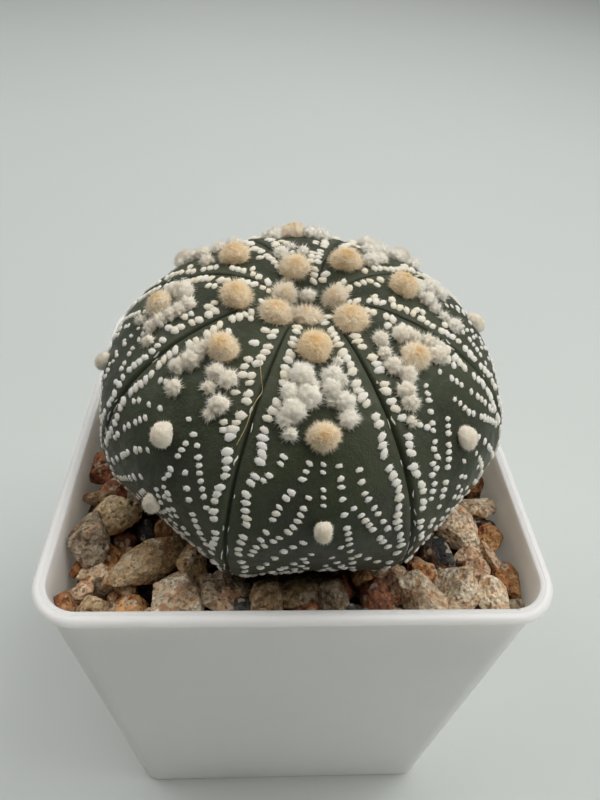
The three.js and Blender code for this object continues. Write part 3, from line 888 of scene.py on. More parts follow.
def fleck_places(random):
    """Along, rib, across and size of every fleck that lies clear of wool and of its neighbours."""
    kept = []
    for rib in range(RIBS):
        for side in (-1, 1):
            flecks = walk_row(random, rib, side)
            if rib != 0:
                flecks += walk_second_row(random, rib, side)
            for arc in arcs_of(random, rib, side):
                flecks += walk_arc(random, arc, rib, side)
            beside = []
            for fleck in flecks:
                spot = (fleck[0], fleck[2] * half_rib_width(fleck[0]))
                apart = APART if fleck[0] < LOW_FLECKS_FROM else APART_LOW
                if clear_of_wool(*fleck) and all(math.dist(spot, other) > apart for other in beside):
                    beside.append(spot)
                    kept.append(fleck)
    return kept


# %% One fleck
# Each ring of a pad is its reach and its height, as shares of the pad's half sizes.
PAD_SIDES = 12
PAD_RINGS = ((1.0, -0.1), (0.96, 0.1), (0.74, 0.2), (0.4, 0.25))
PAD_TOP = 0.26
RAGGED_FROM = 0.5
RIM_HAIRS = 12
RIM_HAIR_WIDTH = 0.08
RIM_REACH = 0.88
RIM_HEIGHT = 0.12
CREASE_TILT = math.radians(24)


def add_fleck(pile, random, place, side_sign, size, tone):
    """A low felt pad with a ragged rim, long across the rib, its outer end turned up the rib."""
    point, out, down, side = place
    tilt = CREASE_TILT + random.normal() * 0.25
    long_axis = side * side_sign * math.cos(tilt) - down * math.sin(tilt)
    axes = np.stack((long_axis, np.cross(out, long_axis), out))
    half = np.array((size / 2, size / 2 * random.uniform(0.62, 0.82), size * random.uniform(0.8, 1.1)))
    angles = np.arange(PAD_SIDES) / PAD_SIDES * 2 * math.pi
    pointed = 1 + 0.16 * np.maximum(0, np.cos(angles + random.choice((0, math.pi)))) ** 4
    ragged = random.uniform(0.8, 1.14, PAD_SIDES) * pointed
    flat = np.stack((np.cos(angles), np.sin(angles)), axis=-1)
    points, normals = [], []
    for share, height in PAD_RINGS:
        reach = flat * share * (ragged[:, None] if share > RAGGED_FROM else 1)
        lumps = height * random.uniform(0.85, 1.15, PAD_SIDES)
        points.append(np.column_stack((reach, lumps)))
        normals.append(np.column_stack((flat * share ** 2, np.full(PAD_SIDES, 1.3 - share * 0.5))))
    points = np.concatenate((*points, [(0, 0, PAD_TOP)])) * half
    normals = unit(np.concatenate((*normals, [(0, 0, 1)])))
    quads = grid_faces(len(PAD_RINGS), PAD_SIDES, closed=True)
    last, around = (len(PAD_RINGS) - 1) * PAD_SIDES, np.arange(PAD_SIDES)
    cap = np.stack((last + around, last + (around + 1) % PAD_SIDES,
                    np.full(PAD_SIDES, len(points) - 1)), axis=-1)
    faces = np.concatenate((quads[:, (0, 1, 2)], quads[:, (0, 2, 3)], cap))
    pile.add(point + points @ axes, faces, normals @ axes, tone=tone, tip=0.85)
    turns = random.uniform(0, 2 * math.pi, RIM_HAIRS)
    rim = np.column_stack((np.cos(turns) * RIM_REACH, np.sin(turns) * RIM_REACH,
                           np.full(RIM_HAIRS, RIM_HEIGHT)))
    ways = unit(rim * (1, 1, 1.5) + random.normal(size=rim.shape) * 0.2)
    lengths = size * random.uniform(0.1, 0.22, RIM_HAIRS)
    shading = unit(ways * (0.4, 0.4, 0) + (0, 0, 0.9)) @ axes
    points, faces, normals = hairs(random, point + rim * half @ axes, ways @ axes, lengths,
                                   RIM_HAIR_WIDTH, shading)
    pile.add(points, faces, normals, tone=tone, tip=1.0)


# %% All the flecks, in an upper and a lower piece
FLECK_SEED = 23
LOWER_FROM = 33


def make_flecks():
    random = np.random.default_rng(FLECK_SEED)
    upper, lower = Pile(), Pile()
    places = fleck_places(random)
    for along, rib, across, size in places:
        usual_tone = float(np.interp(along, (20, 28), (0.4, 0.06)))
        tone = float(np.clip(random.normal(usual_tone, 0.16), 0, 0.8))
        pile = upper if along < LOWER_FROM else lower
        add_fleck(pile, random, skin_place(along, rib, across), 1 if across > 0 else -1, size, tone)
    print("flecks:", len(places))
    upper.make("felt_flecks_upper", fleck_material, "cactus_skin")
    lower.make("felt_flecks_lower", fleck_material, "cactus_skin")


make_flecks()

# %% [markdown]
# ## Cork beside the creases
#
# Where a rib ages, slivers of cream cork peel along its creases. They could be a pattern in the
# skin's material, but they stand off the skin and catch the light. So each sliver is a thin
# ragged ribbon that follows the crease. One dry fibre lies over the crease left of the front
# rib, and is a curve with a round bevel.

# %% Cork slivers
SLIVER_SEED = 5
SLIVER_STEP = 0.3
SLIVER_FROM_CREASE = 0.4
SLIVER_ROWS = ((-1, 0.02), (0, 0.16), (1, 0.02))
UPPER_CORK_END = 32
LAST_CORK = 58


def make_cork_material():
    material, tree, shader = new_material("cork", {"Roughness": 0.8})
    set_colour(tree, shader, blend(tree, mottle(tree, 900), (0.72, 0.68, 0.58), (0.92, 0.91, 0.86)))
    return material


def add_sliver(pile, random, rib, side, start, length, width):
    """A thin jagged ribbon along a crease: two ragged edges and a raised middle."""
    steps = max(5, int(length / SLIVER_STEP))
    along = np.linspace(start, start + length, steps)
    taper = np.sin(np.linspace(0.05, math.pi - 0.05, steps)) ** 0.5
    half = half_rib_width(along)
    middle = SLIVER_FROM_CREASE + 0.08 * np.sin(along * 2 + start)
    rows = []
    for offset, lift in SLIVER_ROWS:
        reach = width * taper * random.uniform(0.35, 1.3, steps) * offset
        across = side * (1 - (middle + reach) / half)
        rows.append(skin_point(u_along(along), rib, across, lift))
    points = np.stack(rows, axis=1).reshape(-1, 3)
    quads = grid_faces(steps, 3, closed=False)
    faces = np.concatenate((quads[:, (0, 1, 2)], quads[:, (0, 2, 3)]))
    pile.add(points, faces if side < 0 else faces[:, ::-1])


def make_slivers():
    random = np.random.default_rng(SLIVER_SEED)
    pile = Pile()
    for rib in range(RIBS):
        for side in (-1, 1):
            along = random.uniform(19, 26)
            while along < LAST_CORK:
                upper = along < UPPER_CORK_END
                length = random.uniform(0.4, 1.4 if upper else 2.6)
                add_sliver(pile, random, rib, side, along, length, random.uniform(0.06, 0.14))
                along += length + (random.uniform(4, 10) if upper else random.uniform(0.4, 5))
    return pile.make("cork_slivers", make_cork_material(), "cactus_skin")


make_slivers()

# %% Dry fibre
# Each stop is a distance from the crown, a place across the rib and a height over the skin.
FIBRE_RIB = 7
FIBRE_RADIUS = 0.05
FIBRE_STOPS = [(16.2, 0.74, 0.5), (17.8, 0.87, 0.8), (19.2, 0.96, 1.0), (20.2, 1.03, 1.1),
               (21.4, 1.0, 1.2), (23.3, 0.98, 1.2), (25.3, 0.99, 1.1), (26.6, 0.96, 0.8),
               (27.8, 0.93, 0.4)]


def make_fibre_material():
    material, tree, shader = new_material("dry_fibre", {"Roughness": 0.5})
    set_colour(tree, shader, blend(tree, mottle(tree, 500), (0.42, 0.30, 0.12), (0.62, 0.50, 0.28)))
    return material


def make_fibre():
    """A bent golden fibre that lies over the crease left of the front rib."""
    curve = bpy.data.curves.new("stray_fibre", "CURVE")
    curve.dimensions = "3D"
    curve.bevel_depth = FIBRE_RADIUS * MM
    curve.bevel_resolution = 2
    spline = curve.splines.new("NURBS")
    spline.points.add(len(FIBRE_STOPS) - 1)
    for knot, (along, across, lift) in zip(spline.points, FIBRE_STOPS):
        place = skin_point(u_along(along), FIBRE_RIB, across, lift) * MM
        knot.co = (*place, 1)
    spline.order_u = 4
    spline.use_endpoint_u = True
    curve.materials.append(make_fibre_material())
    fibre = put_in_scene("stray_fibre", curve)
    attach(fibre, "root")
    return fibre


fibre = make_fibre()
print("fibre with", len(fibre.data.splines[0].points), "stops")

# %% [markdown]
# ## Pot
#
# The pot is injection-moulded white plastic: thin tapered walls, rounded corners, and a lip
# with a flat inner band and a small round bead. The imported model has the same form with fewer
# steps round its corners. A Bevel modifier on a box could round it too, but the lip has a shape
# of its own. So its profile is swept round a rounded square in fine steps, and the bead catches
# one clean line of light. The drain holes are cut by a Boolean. The plastic lets light spread
# inside it, which keeps its shaded walls from going grey.

# %% Pot material
PLASTIC = (0.885, 0.855, 0.81)
PLASTIC_PALE = (0.91, 0.88, 0.835)
SPECK = (0.25, 0.20, 0.15)
DUST = (0.60, 0.47, 0.36)


def make_pot_material():
    material, tree, shader = new_material("pot_plastic", {
        "Subsurface Weight": 1.0, "Subsurface Radius": (1.0, 0.95, 0.9), "Subsurface Scale": 2.4 * MM})
    colour = blend(tree, mottle(tree, 14, 0.3, 0.7), PLASTIC, PLASTIC_PALE)
    specks = grains(tree, 260.0, 0.012)
    near = remap(tree, specks.outputs["Height"], 0.16, 0.08)
    spot = times(tree, specks.outputs["Mask"], near)
    colour = blend(tree, times(tree, spot, 0.6), colour, SPECK)
    dust = times(tree, attribute(tree, "dust"), mottle(tree, 90, 0.25, 0.6))
    set_colour(tree, shader, blend(tree, times(tree, dust, 0.18), colour, DUST))
    tree.links.new(remap(tree, mottle(tree, 60), 0, 1, 0.32, 0.42), shader.inputs["Roughness"])
    set_bump(tree, shader, mottle(tree, 800, 0.2, 0.8), 0.01, 0.5)
    return material


pot_material = make_pot_material()
tell_material(pot_material)

# %% Sizes of the pot
POT_TOP = 75.0
POT_BASE = 64.5
POT_HEIGHT = 85.0
POT_WALL = 1.1
POT_TOP_CORNER = 6.2
POT_BASE_CORNER = 3.8
LIP_OUT = 1.05
LIP_DEPTH = 1.7
BAND_DROP = 0.05
FLOOR = 2.6
FOOT_RECESS = 1.2
FOOT_WIDTH = 2.6
FOOT_ROUNDING = 0.7
INNER_ROUNDING = 0.9
DRAIN_RADIUS = 2.4
DRAIN_CIRCLE = 17.0
SOIL_TOP = 70.0
OUTER_TOP = POT_TOP / 2 - LIP_OUT


def cavity_half(z):
    """Half the width inside the pot's walls at a height."""
    taper = (OUTER_TOP - POT_BASE / 2) / POT_HEIGHT
    return OUTER_TOP - POT_WALL - (POT_HEIGHT - z) * taper


def cavity_corner(z):
    """Radius of the corners inside the pot's walls at a height."""
    return POT_BASE_CORNER + (POT_TOP_CORNER - POT_BASE_CORNER) * z / POT_HEIGHT - POT_WALL


print("inside of the pot:", round(2 * cavity_half(POT_HEIGHT), 1), "mm wide at the top")

# %% Rounded squares
CORNER_STEPS = 14


def square_ring(half, corner):
    """Points of a rounded square, counterclockwise."""
    quarter = np.repeat(np.arange(4), CORNER_STEPS + 1)
    step = np.tile(np.arange(CORNER_STEPS + 1), 4)
    angle = (quarter + step / CORNER_STEPS) * math.pi / 2
    middle = (quarter + 0.5) * math.pi / 2
    inset = (half - corner) * math.sqrt(2)
    return np.stack((np.cos(middle) * inset + np.cos(angle) * corner,
                     np.sin(middle) * inset + np.sin(angle) * corner), axis=-1)


def square_sweep(profile_points):
    """A surface of rounded squares: each profile point is half width, height and corner."""
    rings = []
    for half, height, corner in profile_points:
        flat = square_ring(half, corner)
        rings.append(np.column_stack((flat, np.full(len(flat), height))))
    return np.concatenate(rings), grid_faces(len(rings), len(rings[0]), closed=True)


# %% Profile of the pot
# The lip's inner edge and flat band, as distances in from the wall and down from the top.
LIP_BAND = ((0.1, 0.01), (0.17, 0.05), (0.23, 0.1), (0.3, 0.1), (0.36, BAND_DROP),
            (0.78, BAND_DROP), (0.85, BAND_DROP + 0.03), (0.89, BAND_DROP + 0.1), (0.93, 0.5))
INNER_HEIGHTS = (POT_HEIGHT - 1.6, 81.5, SOIL_TOP, FLOOR + 1)
FOOT_STEPS = 6
BEAD_STEPS = 18
NEARLY_NOTHING = 0.01


def pot_profile():
    """Half width, height and corner of each ring, from under the pot over the lip to its floor."""
    half, foot = POT_BASE / 2, POT_BASE / 2 - FOOT_WIDTH
    bead, middle = LIP_DEPTH / 2, POT_HEIGHT - LIP_DEPTH / 2
    points = [(NEARLY_NOTHING, FOOT_RECESS, NEARLY_NOTHING / 2),
              (foot, FOOT_RECESS, POT_BASE_CORNER - FOOT_WIDTH),
              (foot + 0.4, 0, POT_BASE_CORNER - FOOT_WIDTH + 0.4)]
    for angle in np.linspace(0, math.pi / 2, FOOT_STEPS):
        out = FOOT_ROUNDING * (1 - math.sin(angle))
        points.append((half - out, FOOT_ROUNDING * (1 - math.cos(angle)), POT_BASE_CORNER - out))
    points.append((OUTER_TOP, middle - bead - 0.25, POT_TOP_CORNER))
    for angle in np.linspace(-math.pi / 2, math.pi / 2, BEAD_STEPS):
        out = math.cos(angle) * LIP_OUT
        points.append((OUTER_TOP + out, middle + math.sin(angle) * bead, POT_TOP_CORNER + out))
    for out, drop in LIP_BAND:
        points.append((OUTER_TOP - out, POT_HEIGHT - drop, POT_TOP_CORNER - out))
    for z in INNER_HEIGHTS:
        points.append((cavity_half(z), z, cavity_corner(z)))
    points += [(cavity_half(FLOOR) - INNER_ROUNDING, FLOOR, cavity_corner(FLOOR) - INNER_ROUNDING),
               (NEARLY_NOTHING, FLOOR, NEARLY_NOTHING / 2)]
    return points


print("profile of the pot:", len(pot_profile()), "points")

# %% Drain holes
DRAIN_SIDES = 24
ASIDE = DRAIN_CIRCLE / math.sqrt(2)
DRAINS = [(0, 0)] + [(x, y) for x in (-ASIDE, ASIDE) for y in (-ASIDE, ASIDE)]


def add_drain_rod(points, faces, x, y):
    """A rod through the floor of the pot, with its sides and two ends."""
    start = len(points)
    for z in (-1, FLOOR + 2):
        for step in range(DRAIN_SIDES):
            angle = step / DRAIN_SIDES * 2 * math.pi
            rim = (x + math.cos(angle) * DRAIN_RADIUS, y + math.sin(angle) * DRAIN_RADIUS, z)
            points.append(tuple(value * MM for value in rim))
    faces.append([start + step for step in reversed(range(DRAIN_SIDES))])
    faces.append([start + DRAIN_SIDES + step for step in range(DRAIN_SIDES)])
    for step in range(DRAIN_SIDES):
        low, low_after = start + step, start + (step + 1) % DRAIN_SIDES
        faces.append([low, low_after, low_after + DRAIN_SIDES, low + DRAIN_SIDES])


def cut_drains(pot):
    cutters = bpy.data.meshes.new("drains")
    points, faces = [], []
    for x, y in DRAINS:
        add_drain_rod(points, faces, x, y)
    cutters.from_pydata(points, [], faces)
    cutter = put_in_scene("drains", cutters)
    cut = pot.modifiers.new("drains", "BOOLEAN")
    cut.object = cutter
    cut.operation = "DIFFERENCE"
    bpy.context.view_layer.update()
    done = bpy.data.meshes.new_from_object(pot.evaluated_get(bpy.context.evaluated_depsgraph_get()))
    pot.modifiers.clear()
    pot.data = done
    bpy.data.objects.remove(cutter)
    bpy.data.meshes.remove(cutters)


# %% Pot mesh
SHARP_FROM = math.radians(35)
DUSTY_RINGS = 5


def close_ends(mesh, ring, last):
    """Closes the small holes in the middle of the underside and of the floor."""
    edit = bmesh.new()
    edit.from_mesh(mesh)
    edit.verts.ensure_lookup_table()
    edit.faces.new([edit.verts[i] for i in reversed(ring)])
    edit.faces.new([edit.verts[last + i] for i in ring])
    bmesh.ops.recalc_face_normals(edit, faces=edit.faces)
    edit.to_mesh(mesh)
    edit.free()


def make_pot():
    points, faces = square_sweep(pot_profile())
    ring = np.arange(4 * (CORNER_STEPS + 1))
    inside = np.hypot(points[:, 0], points[:, 1]) > 20
    inside &= np.arange(len(points)) > len(points) - DUSTY_RINGS * len(ring)
    dust = inside * np.interp(points[:, 2], (60, 77, 81.5), (1, 1, 0))
    pot = make_piece("pot_shell", points, faces, pot_material, {"dust": dust})
    close_ends(pot.data, ring, len(points) - len(ring))
    cut_drains(pot)
    mesh = pot.data
    mesh.polygons.foreach_set("use_smooth", np.ones(len(mesh.polygons), bool))
    mesh.set_sharp_from_angle(angle=SHARP_FROM)
    return pot


pot = make_pot()
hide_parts("pot")

# %% [markdown]
# ## Soil and the dark bed under the stones
#
# Potting soil is nearly black-brown and crumbly. It could be modelled crumb by crumb, but almost
# none of it is seen. So the packed soil block stays, in a crumbly material, and shows only
# through the drain holes. Above it lies a rough bed of fine dark grit, which is what the eye
# meets in the gaps between the stones.

# %% Soil material
SOIL_DARK = (0.010, 0.007, 0.005)
SOIL_BROWN = (0.045, 0.028, 0.018)
SOIL_CRUMB = (0.11, 0.075, 0.05)


def make_soil_material():
    material, tree, shader = new_material("soil", {"Roughness": 1.0})
    colour = blend(tree, mottle(tree, 400, 0.35, 0.65), SOIL_DARK, SOIL_BROWN)
    crumbs = grains(tree, 1300.0, 0.12)
    set_colour(tree, shader, blend(tree, crumbs.outputs["Mask"], colour, SOIL_CRUMB))
    set_bump(tree, shader, crumbs.outputs["Height"], 0.5)
    return material


soil_material = make_soil_material()
tell_material(soil_material)
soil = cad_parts["soil"]
soil.data.materials.clear()
soil.data.materials.append(soil_material)

# %% Bed of fine grit
BED_LEVEL = 74.2
BED_GAP = 0.35
BED_RINGS = 60
BED_ROUGHNESS = 1.1
BED_LUMP_SCALE = 0.9


def make_bed():
    half, corner = cavity_half(BED_LEVEL) - BED_GAP, cavity_corner(BED_LEVEL) - BED_GAP
    rings = [(half * share, BED_LEVEL, corner * share) for share in np.linspace(0.3, 1, BED_RINGS)]
    points, faces = square_sweep(rings)
    lumps = [noise.fractal(Vector(point) * BED_LUMP_SCALE, 0.8, 2.0, 4) for point in points]
    points[:, 2] += np.array(lumps) * BED_ROUGHNESS
    return make_piece("grit_bed", points, faces, soil_material)


bed = make_bed()

# %% [markdown]
# ## Stones
#
# The dressing is broken granite: tan and pinkish pieces with dark and pale mineral grains, some
# orange and rust-brown ones, a few grey and nearly black. A broken stone is bounded by flat
# faces with worn edges. It could be sculpted, or cut from a block with a knife tool, but that is
# slow for hundreds. So each one starts as a ball of directions, and its reach in each direction
# is the nearest of thirteen random planes, softened a little. The large stones of the front are
# listed one by one, and a seeded draw fills the rest of the pot in two layers.

# %% Stone materials
# For each kind: a main tone, a second tone, the tone of its hollows and its dark minerals.
STONE_KINDS = {
    "tan": ((0.365, 0.235, 0.115), (0.53, 0.38, 0.215), (0.15, 0.065, 0.02), (0.09, 0.06, 0.03)),
    "pink": ((0.56, 0.34, 0.20), (0.76, 0.55, 0.36), (0.19, 0.085, 0.04), (0.12, 0.075, 0.05)),
    "orange": ((0.42, 0.16, 0.05), (0.62, 0.33, 0.13), (0.13, 0.03, 0.01), (0.09, 0.03, 0.015)),
    "yellow": ((0.42, 0.28, 0.13), (0.62, 0.46, 0.26), (0.12, 0.06, 0.02), (0.07, 0.045, 0.025)),
    "granite": ((0.82, 0.60, 0.38), (0.95, 0.81, 0.59), (0.42, 0.20, 0.08), (0.20, 0.12, 0.07)),
    "grey": ((0.215, 0.155, 0.095), (0.37, 0.29, 0.19), (0.08, 0.045, 0.02), (0.06, 0.042, 0.03)),
    "red": ((0.26, 0.085, 0.035), (0.46, 0.19, 0.09), (0.07, 0.018, 0.008), (0.05, 0.018, 0.01)),
    "slate": ((0.03, 0.032, 0.03), (0.085, 0.085, 0.075), (0.012, 0.01, 0.008), (0.01, 0.01, 0.01)),
}
QUARTZ = (0.80, 0.69, 0.52)
STAIN = STONE_KINDS["orange"][0]


def make_stone_material(kind):
    """Mottled rock in grains of uneven tone, darker and browner pits, dark minerals and quartz."""
    rock, second, hollow, dark = STONE_KINDS[kind]
    material, tree, shader = new_material("stone_" + kind, {"Specular IOR Level": 0.4})
    colour = blend(tree, mottle(tree, 330, 0.4, 0.6), rock, second)
    stain = times(tree, mottle(tree, 210, 0.5, 0.66), 0.55)
    colour = blend(tree, stain, colour, STAIN)
    coarse = grains(tree, 1300.0, 0.1)
    fine = grains(tree, 2900.0, 0.08)
    lots = math_node(tree, "ADD", coarse.outputs["Lot"], fine.outputs["Lot"])
    tint = remap(tree, attribute(tree, "tint"), 0, 1, 0.7, 1.2)
    tone = times(tree, remap(tree, lots, 0.2, 1.8, 0.62, 1.36), tint)
    grey = add(tree, "CombineColor", {"Red": tone, "Green": tone, "Blue": tone}).outputs["Color"]
    colour = blend(tree, 1.0, colour, grey, "MULTIPLY")
    colour = blend(tree, times(tree, coarse.outputs["Mask"], 0.5), colour, QUARTZ)
    colour = blend(tree, times(tree, fine.outputs["Mask"], 0.5), colour, dark)
    sunk = remap(tree, attribute(tree, "hollow"), 0.3, 0.95, 0, 0.85)
    set_colour(tree, shader, blend(tree, sunk, colour, hollow))
    tree.links.new(remap(tree, fine.outputs["Lot"], 0, 1, 0.45, 0.85), shader.inputs["Roughness"])
    rough = math_node(tree, "ADD", mottle(tree, 1100, 0.2, 0.8), coarse.outputs["Height"])
    set_bump(tree, shader, rough, 0.3, 0.9)
    return material


print("kinds of stone:", list(STONE_KINDS))

# %% Shape of a stone
STONE_PLANES = 13
FACET_SHARPNESS = 24
LONGEST_REACH = 1.3
LUMP_SHARE = 0.05
PIT_DEPTH = 0.22
STONE_TILT = 0.3
WALL_GAP = 0.12
WAVES_PER_OCTAVE = 5


def waves(points, random, scale, octaves):
    """A cheap lumpy value of about -1 to 1 at each point: sines in random directions, added up."""
    total = 0
    for octave in range(octaves):
        ways = unit(random.normal(size=(WAVES_PER_OCTAVE, 3))) * scale * 1.9 ** octave
        phase = random.uniform(0, 6, WAVES_PER_OCTAVE)
        total = total + np.sin(points @ ways.T + phase).sum(axis=1) / 3 / 1.5 ** octave
    return total / octaves ** 0.5


def add_stone(pile, random, place, half, turn, detail):
    """A broken stone of three half sizes: flat faces with worn edges, pitted between grains."""
    directions, faces = BALLS[detail]
    planes = unit(random.normal(size=(STONE_PLANES, 3)))
    depths = random.uniform(0.72, 1.0, STONE_PLANES)
    facing = np.maximum(directions @ planes.T, 0) / depths
    crowded = np.maximum(np.sum(facing ** FACET_SHARPNESS, axis=1), 1e-9)
    reach = np.minimum(crowded ** (-1 / FACET_SHARPNESS), LONGEST_REACH)
    lumps = waves(directions, random, 3.0, 2)
    pits = np.clip(-waves(directions * half, random, 4.2, 2), 0, 1.2)
    points = directions * (reach * (1 + LUMP_SHARE * lumps))[:, None] * half
    points -= directions * (pits * PIT_DEPTH)[:, None]
    tilt_x, tilt_y = random.uniform(-STONE_TILT, STONE_TILT, 2)
    tilt = Matrix.Rotation(tilt_x, 3, "X") @ Matrix.Rotation(tilt_y, 3, "Y")
    points = points @ np.array(Matrix.Rotation(turn, 3, "Z") @ tilt).T + place
    wall = cavity_half(np.minimum(points[:, 2], POT_HEIGHT)) - WALL_GAP
    for axis in (0, 1):
        over = points[:, axis] - np.clip(points[:, axis], -wall, wall)
        points[:, axis] -= over[np.argmax(np.abs(over))]
    tint = random.random()
    pile.add(points, faces, tint=tint, hollow=np.clip(pits + 0.25 * np.maximum(0, -lumps), 0, 1))


# %% Stones given one by one
# Kind, x and y from the middle of the pot, height, length, width and turn from the x axis.
FRONT_STONES = [
    ("red", -33.7, -6.8, 80.5, 6.4, 4.6, 85), ("tan", -34.0, -13.2, 80.6, 3.4, 3.2, 0),
    ("yellow", -29.9, -16.4, 80.7, 7.8, 6.0, 30), ("slate", -24.4, -18.0, 78.4, 3.8, 3.4, 0),
    ("grey", -33.6, -22.3, 82.0, 6.8, 5.2, 100), ("orange", -29.2, -22.8, 78.8, 4.4, 3.6, 90),
    ("tan", -26.8, -22.0, 78.0, 2.8, 2.6, 0), ("granite", -30.4, -26.4, 79.6, 4.2, 2.8, 5),
    ("grey", -29.9, -28.2, 78.6, 4.6, 2.6, 0), ("tan", -22.2, -25.0, 79.8, 12.2, 5.4, 43),
    ("tan", -16.2, -25.0, 79.4, 7.0, 5.0, 110), ("granite", -17.8, -31.4, 80.0, 7.4, 6.4, 0),
    ("orange", -24.4, -31.8, 79.0, 4.6, 4.2, 0), ("pink", -32.0, -29.4, 78.8, 3.6, 2.8, 20),
    ("tan", -29.6, -32.2, 79.0, 4.8, 3.8, 0), ("orange", -34.1, -33.2, 81.7, 3.8, 2.4, 110),
    ("grey", -26.9, -32.4, 79.2, 2.2, 2.0, 0), ("grey", -11.5, -29.4, 79.2, 6.8, 6.2, 140),
    ("slate", -8.3, -32.0, 79.4, 4.8, 3.6, 10), ("tan", -4.6, -31.0, 79.4, 6.2, 5.4, 95),
    ("yellow", 1.0, -28.6, 78.4, 7.6, 4.6, 0), ("red", 0.8, -32.8, 77.8, 4.4, 3.0, 0),
    ("grey", 5.6, -31.8, 79.2, 5.2, 4.8, 60), ("red", 7.6, -28.0, 77.2, 4.0, 3.0, 90),
    ("red", 12.1, -30.4, 79.0, 5.4, 4.8, 150), ("pink", 15.6, -28.6, 79.0, 5.6, 3.8, 80),
    ("slate", 9.0, -32.4, 77.6, 3.4, 3.2, 0), ("granite", 18.6, -31.8, 79.8, 6.6, 5.8, 0),
    ("granite", 24.8, -30.6, 80.2, 7.0, 6.2, 50), ("orange", 20.4, -26.2, 78.6, 4.4, 3.8, 150),
    ("granite", 27.2, -18.9, 80.0, 6.6, 5.8, 100), ("pink", 28.8, -13.4, 79.0, 3.8, 3.0, 0),
    ("granite", 33.0, -13.8, 79.4, 4.4, 4.0, 0), ("slate", 30.8, -16.2, 78.6, 3.8, 2.6, 0),
    ("orange", 32.2, -19.8, 79.2, 5.6, 4.4, 60), ("pink", 27.6, -23.6, 79.2, 4.2, 3.0, 0),
    ("pink", 31.4, -24.4, 79.6, 6.2, 2.6, 118), ("pink", 28.6, -26.8, 79.4, 4.2, 3.6, 60),
    ("granite", 29.6, -30.8, 79.6, 5.6, 4.2, 110), ("orange", 33.4, -28.0, 79.4, 5.2, 3.6, 95),
    ("slate", 22.9, -22.6, 78.8, 7.0, 3.4, 105), ("orange", 32.8, -8.8, 78.6, 3.8, 3.6, 0),
    ("grey", 33.0, -32.2, 79.0, 3.4, 2.8, 0), ("grey", 19.6, -23.8, 78.0, 2.8, 2.6, 0),
]
print("stones placed by hand:", len(FRONT_STONES))

# %% Filling of smaller stones
# Each round draws stones of a lowest and a highest radius at a level, with so many tries.
FILL_ROUNDS = ((2.2, 3.6, 78.6, 4000), (1.2, 2.4, 78.4, 7000), (1.8, 2.8, 75.6, 4000))
FILL_KINDS = ["tan"] * 6 + ["pink"] * 4 + ["orange"] * 4 + ["grey"] * 4 + ["yellow"] * 2 + [
    "red"] * 2 + ["granite"] * 2 + ["slate"] * 2
FARTHEST_STONE = 35
FILL_UNEVEN = 0.8
CROWDING = 0.84


def body_radius(z):
    """How far the skin reaches out at a height below the equator."""
    sunk = np.clip((BODY_EQUATOR - np.asarray(z, float)) / BODY_DROP, 0, 0.999)
    return BODY_RADIUS * (1 - sunk ** 2) ** (LOW_ROUNDNESS / 2)


def has_room(x, y, z, radius, placed):
    """Whether a stone fits between the wall, the plant and the stones that lie there."""
    if max(abs(x), abs(y)) > cavity_half(z) - radius * 0.9:
        return False
    from_plant = math.hypot(x - BODY_CENTRE[0], y - BODY_CENTRE[1])
    if from_plant < body_radius(z + radius * 0.6) * 0.97 + radius * 0.6:
        return False
    return all(math.dist((x, y, z), other[:3]) >= (radius + other[3]) * CROWDING for other in placed)


def stone_fill(random):
    """A seeded filling of the ring of grit: kind, place and radius of each stone."""
    placed = [(x, y, z, (length + width) / 4) for _, x, y, z, length, width, _ in FRONT_STONES]
    stones = []
    for low, high, level, tries in FILL_ROUNDS:
        for _ in range(tries):
            radius = random.uniform(low, high)
            x, y = random.uniform(-FARTHEST_STONE, FARTHEST_STONE, 2)
            z = level + random.uniform(-FILL_UNEVEN, FILL_UNEVEN)
            if has_room(x, y, z, radius, placed):
                placed.append((x, y, z, radius))
                stones.append((FILL_KINDS[random.integers(len(FILL_KINDS))], x, y, z, radius))
    return stones


# %% Stone pieces
STONE_SEED = 41
STONE_ALLOWANCE = 1.1
TALLEST = 5.5
FLATNESS = 0.85
FINE_FROM = 5.5


def make_stones():
    random = np.random.default_rng(STONE_SEED)
    piles = {kind: Pile() for kind in STONE_KINDS}
    for kind, x, y, z, length, width, turn in FRONT_STONES:
        half = np.array((length, width, min(width, TALLEST) * FLATNESS)) / 2 * STONE_ALLOWANCE
        detail = 5 if length > FINE_FROM else 4
        add_stone(piles[kind], random, (x, y, z), half, math.radians(turn), detail)
    fill = stone_fill(random)
    for kind, x, y, z, radius in fill:
        half = radius * np.array((random.uniform(1.0, 1.35), 1.0, random.uniform(0.75, 1.0)))
        detail = 4 if radius > 1.8 and z > 77 else 3
        add_stone(piles[kind], random, (x, y, z), half, random.uniform(0, math.tau), detail)
    print("stones:", len(FRONT_STONES) + len(fill))
    return [pile.make("stones_" + kind, make_stone_material(kind), "gravel")
            for kind, pile in piles.items()]


stones = make_stones()
for piece in (bed, *stones):
    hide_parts("gravel")

# %% [markdown]
# ## Floor and light
#
# The object stands on a plain pale surface under soft daylight that comes mostly from above
# and behind, so the front wall of the pot lies in open shade. A picture of a sky could light it,
# but lamps can be moved one by one until each side is right. Large lamps stand overhead, to both
# sides and behind, and a small one near the right front gives the front wall its slope from
# darker to lighter. The sky adds very little light, yet the camera sees it pale, so that a view
# from the side doesn't end in darkness behind the floor.

# %% Floor
FLOOR_RADIUS = 1.6
FLOOR_SIDES = 96


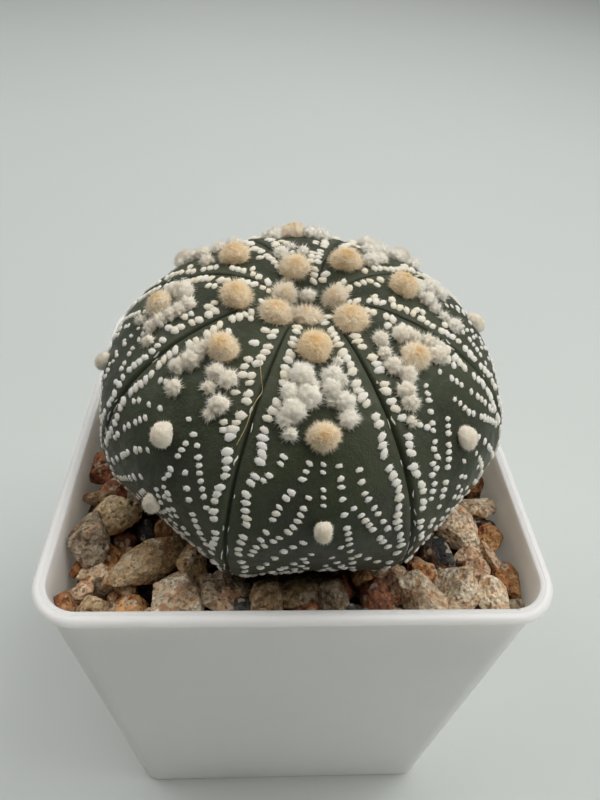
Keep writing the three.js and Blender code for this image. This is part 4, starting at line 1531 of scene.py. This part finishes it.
def make_floor():
    material, tree, shader = new_material("floor", {"Roughness": 0.6})
    clouds = mottle(tree, 3, 0.2, 0.8)
    set_colour(tree, shader, blend(tree, clouds, (0.60, 0.63, 0.60), (0.62, 0.65, 0.62)))
    mesh = bpy.data.meshes.new("floor")
    turns = np.linspace(0, math.tau, FLOOR_SIDES, endpoint=False)
    rim = np.stack((np.cos(turns), np.sin(turns), np.zeros(FLOOR_SIDES)), axis=-1) * FLOOR_RADIUS
    mesh.from_pydata(rim.tolist(), [], [tuple(range(FLOOR_SIDES))])
    mesh.materials.append(material)
    floor = put_in_scene("floor", mesh)


make_floor()
print("floor:", 2 * FLOOR_RADIUS, "m across")

# %% Lamps
# The name of each lamp, its place and width in metres, and its power in watts.
LAMPS = [
    ("overhead", (0.1, 0.25, 1.0), 1.3, 5.2), ("right_window", (0.6, 0.1, 0.9), 0.8, 5.8),
    ("left_window", (-0.8, 0.3, 0.8), 0.8, 4.5), ("back_window", (0.1, 1.4, 0.7), 1.0, 2.0),
    ("near_fill", (0.36, -0.33, 0.15), 0.2, 0.39),
]
LIT_POINT = Vector((0, 0, 0.08))


def make_lamp(name, place, width, power):
    data = bpy.data.lights.new(name, "AREA")
    data.size = width
    data.energy = power
    lamp = put_in_scene(name, data)
    lamp.location = place
    towards = LIT_POINT - Vector(place)
    lamp.rotation_euler = towards.to_track_quat("-Z", "Y").to_euler()


for lamp in LAMPS:
    make_lamp(*lamp)
print("lamps:", [lamp[0] for lamp in LAMPS])

# %% Sky
SKY_COLOUR = (0.95, 0.985, 0.965, 1)
SKY_LIGHT = 0.02
SKY_SEEN = 0.42


def make_sky():
    world = bpy.data.worlds.new("sky")
    bpy.context.scene.world = world
    world.use_nodes = True
    tree = world.node_tree
    background = tree.nodes["Background"]
    background.inputs["Color"].default_value = SKY_COLOUR
    seen = add(tree, "LightPath").outputs["Is Camera Ray"]
    tree.links.new(remap(tree, seen, 0, 1, SKY_LIGHT, SKY_SEEN), background.inputs["Strength"])


make_sky()
bpy.context.scene.view_settings.view_transform = "Standard"
print("sky seen at", SKY_SEEN, "and lighting at", SKY_LIGHT)
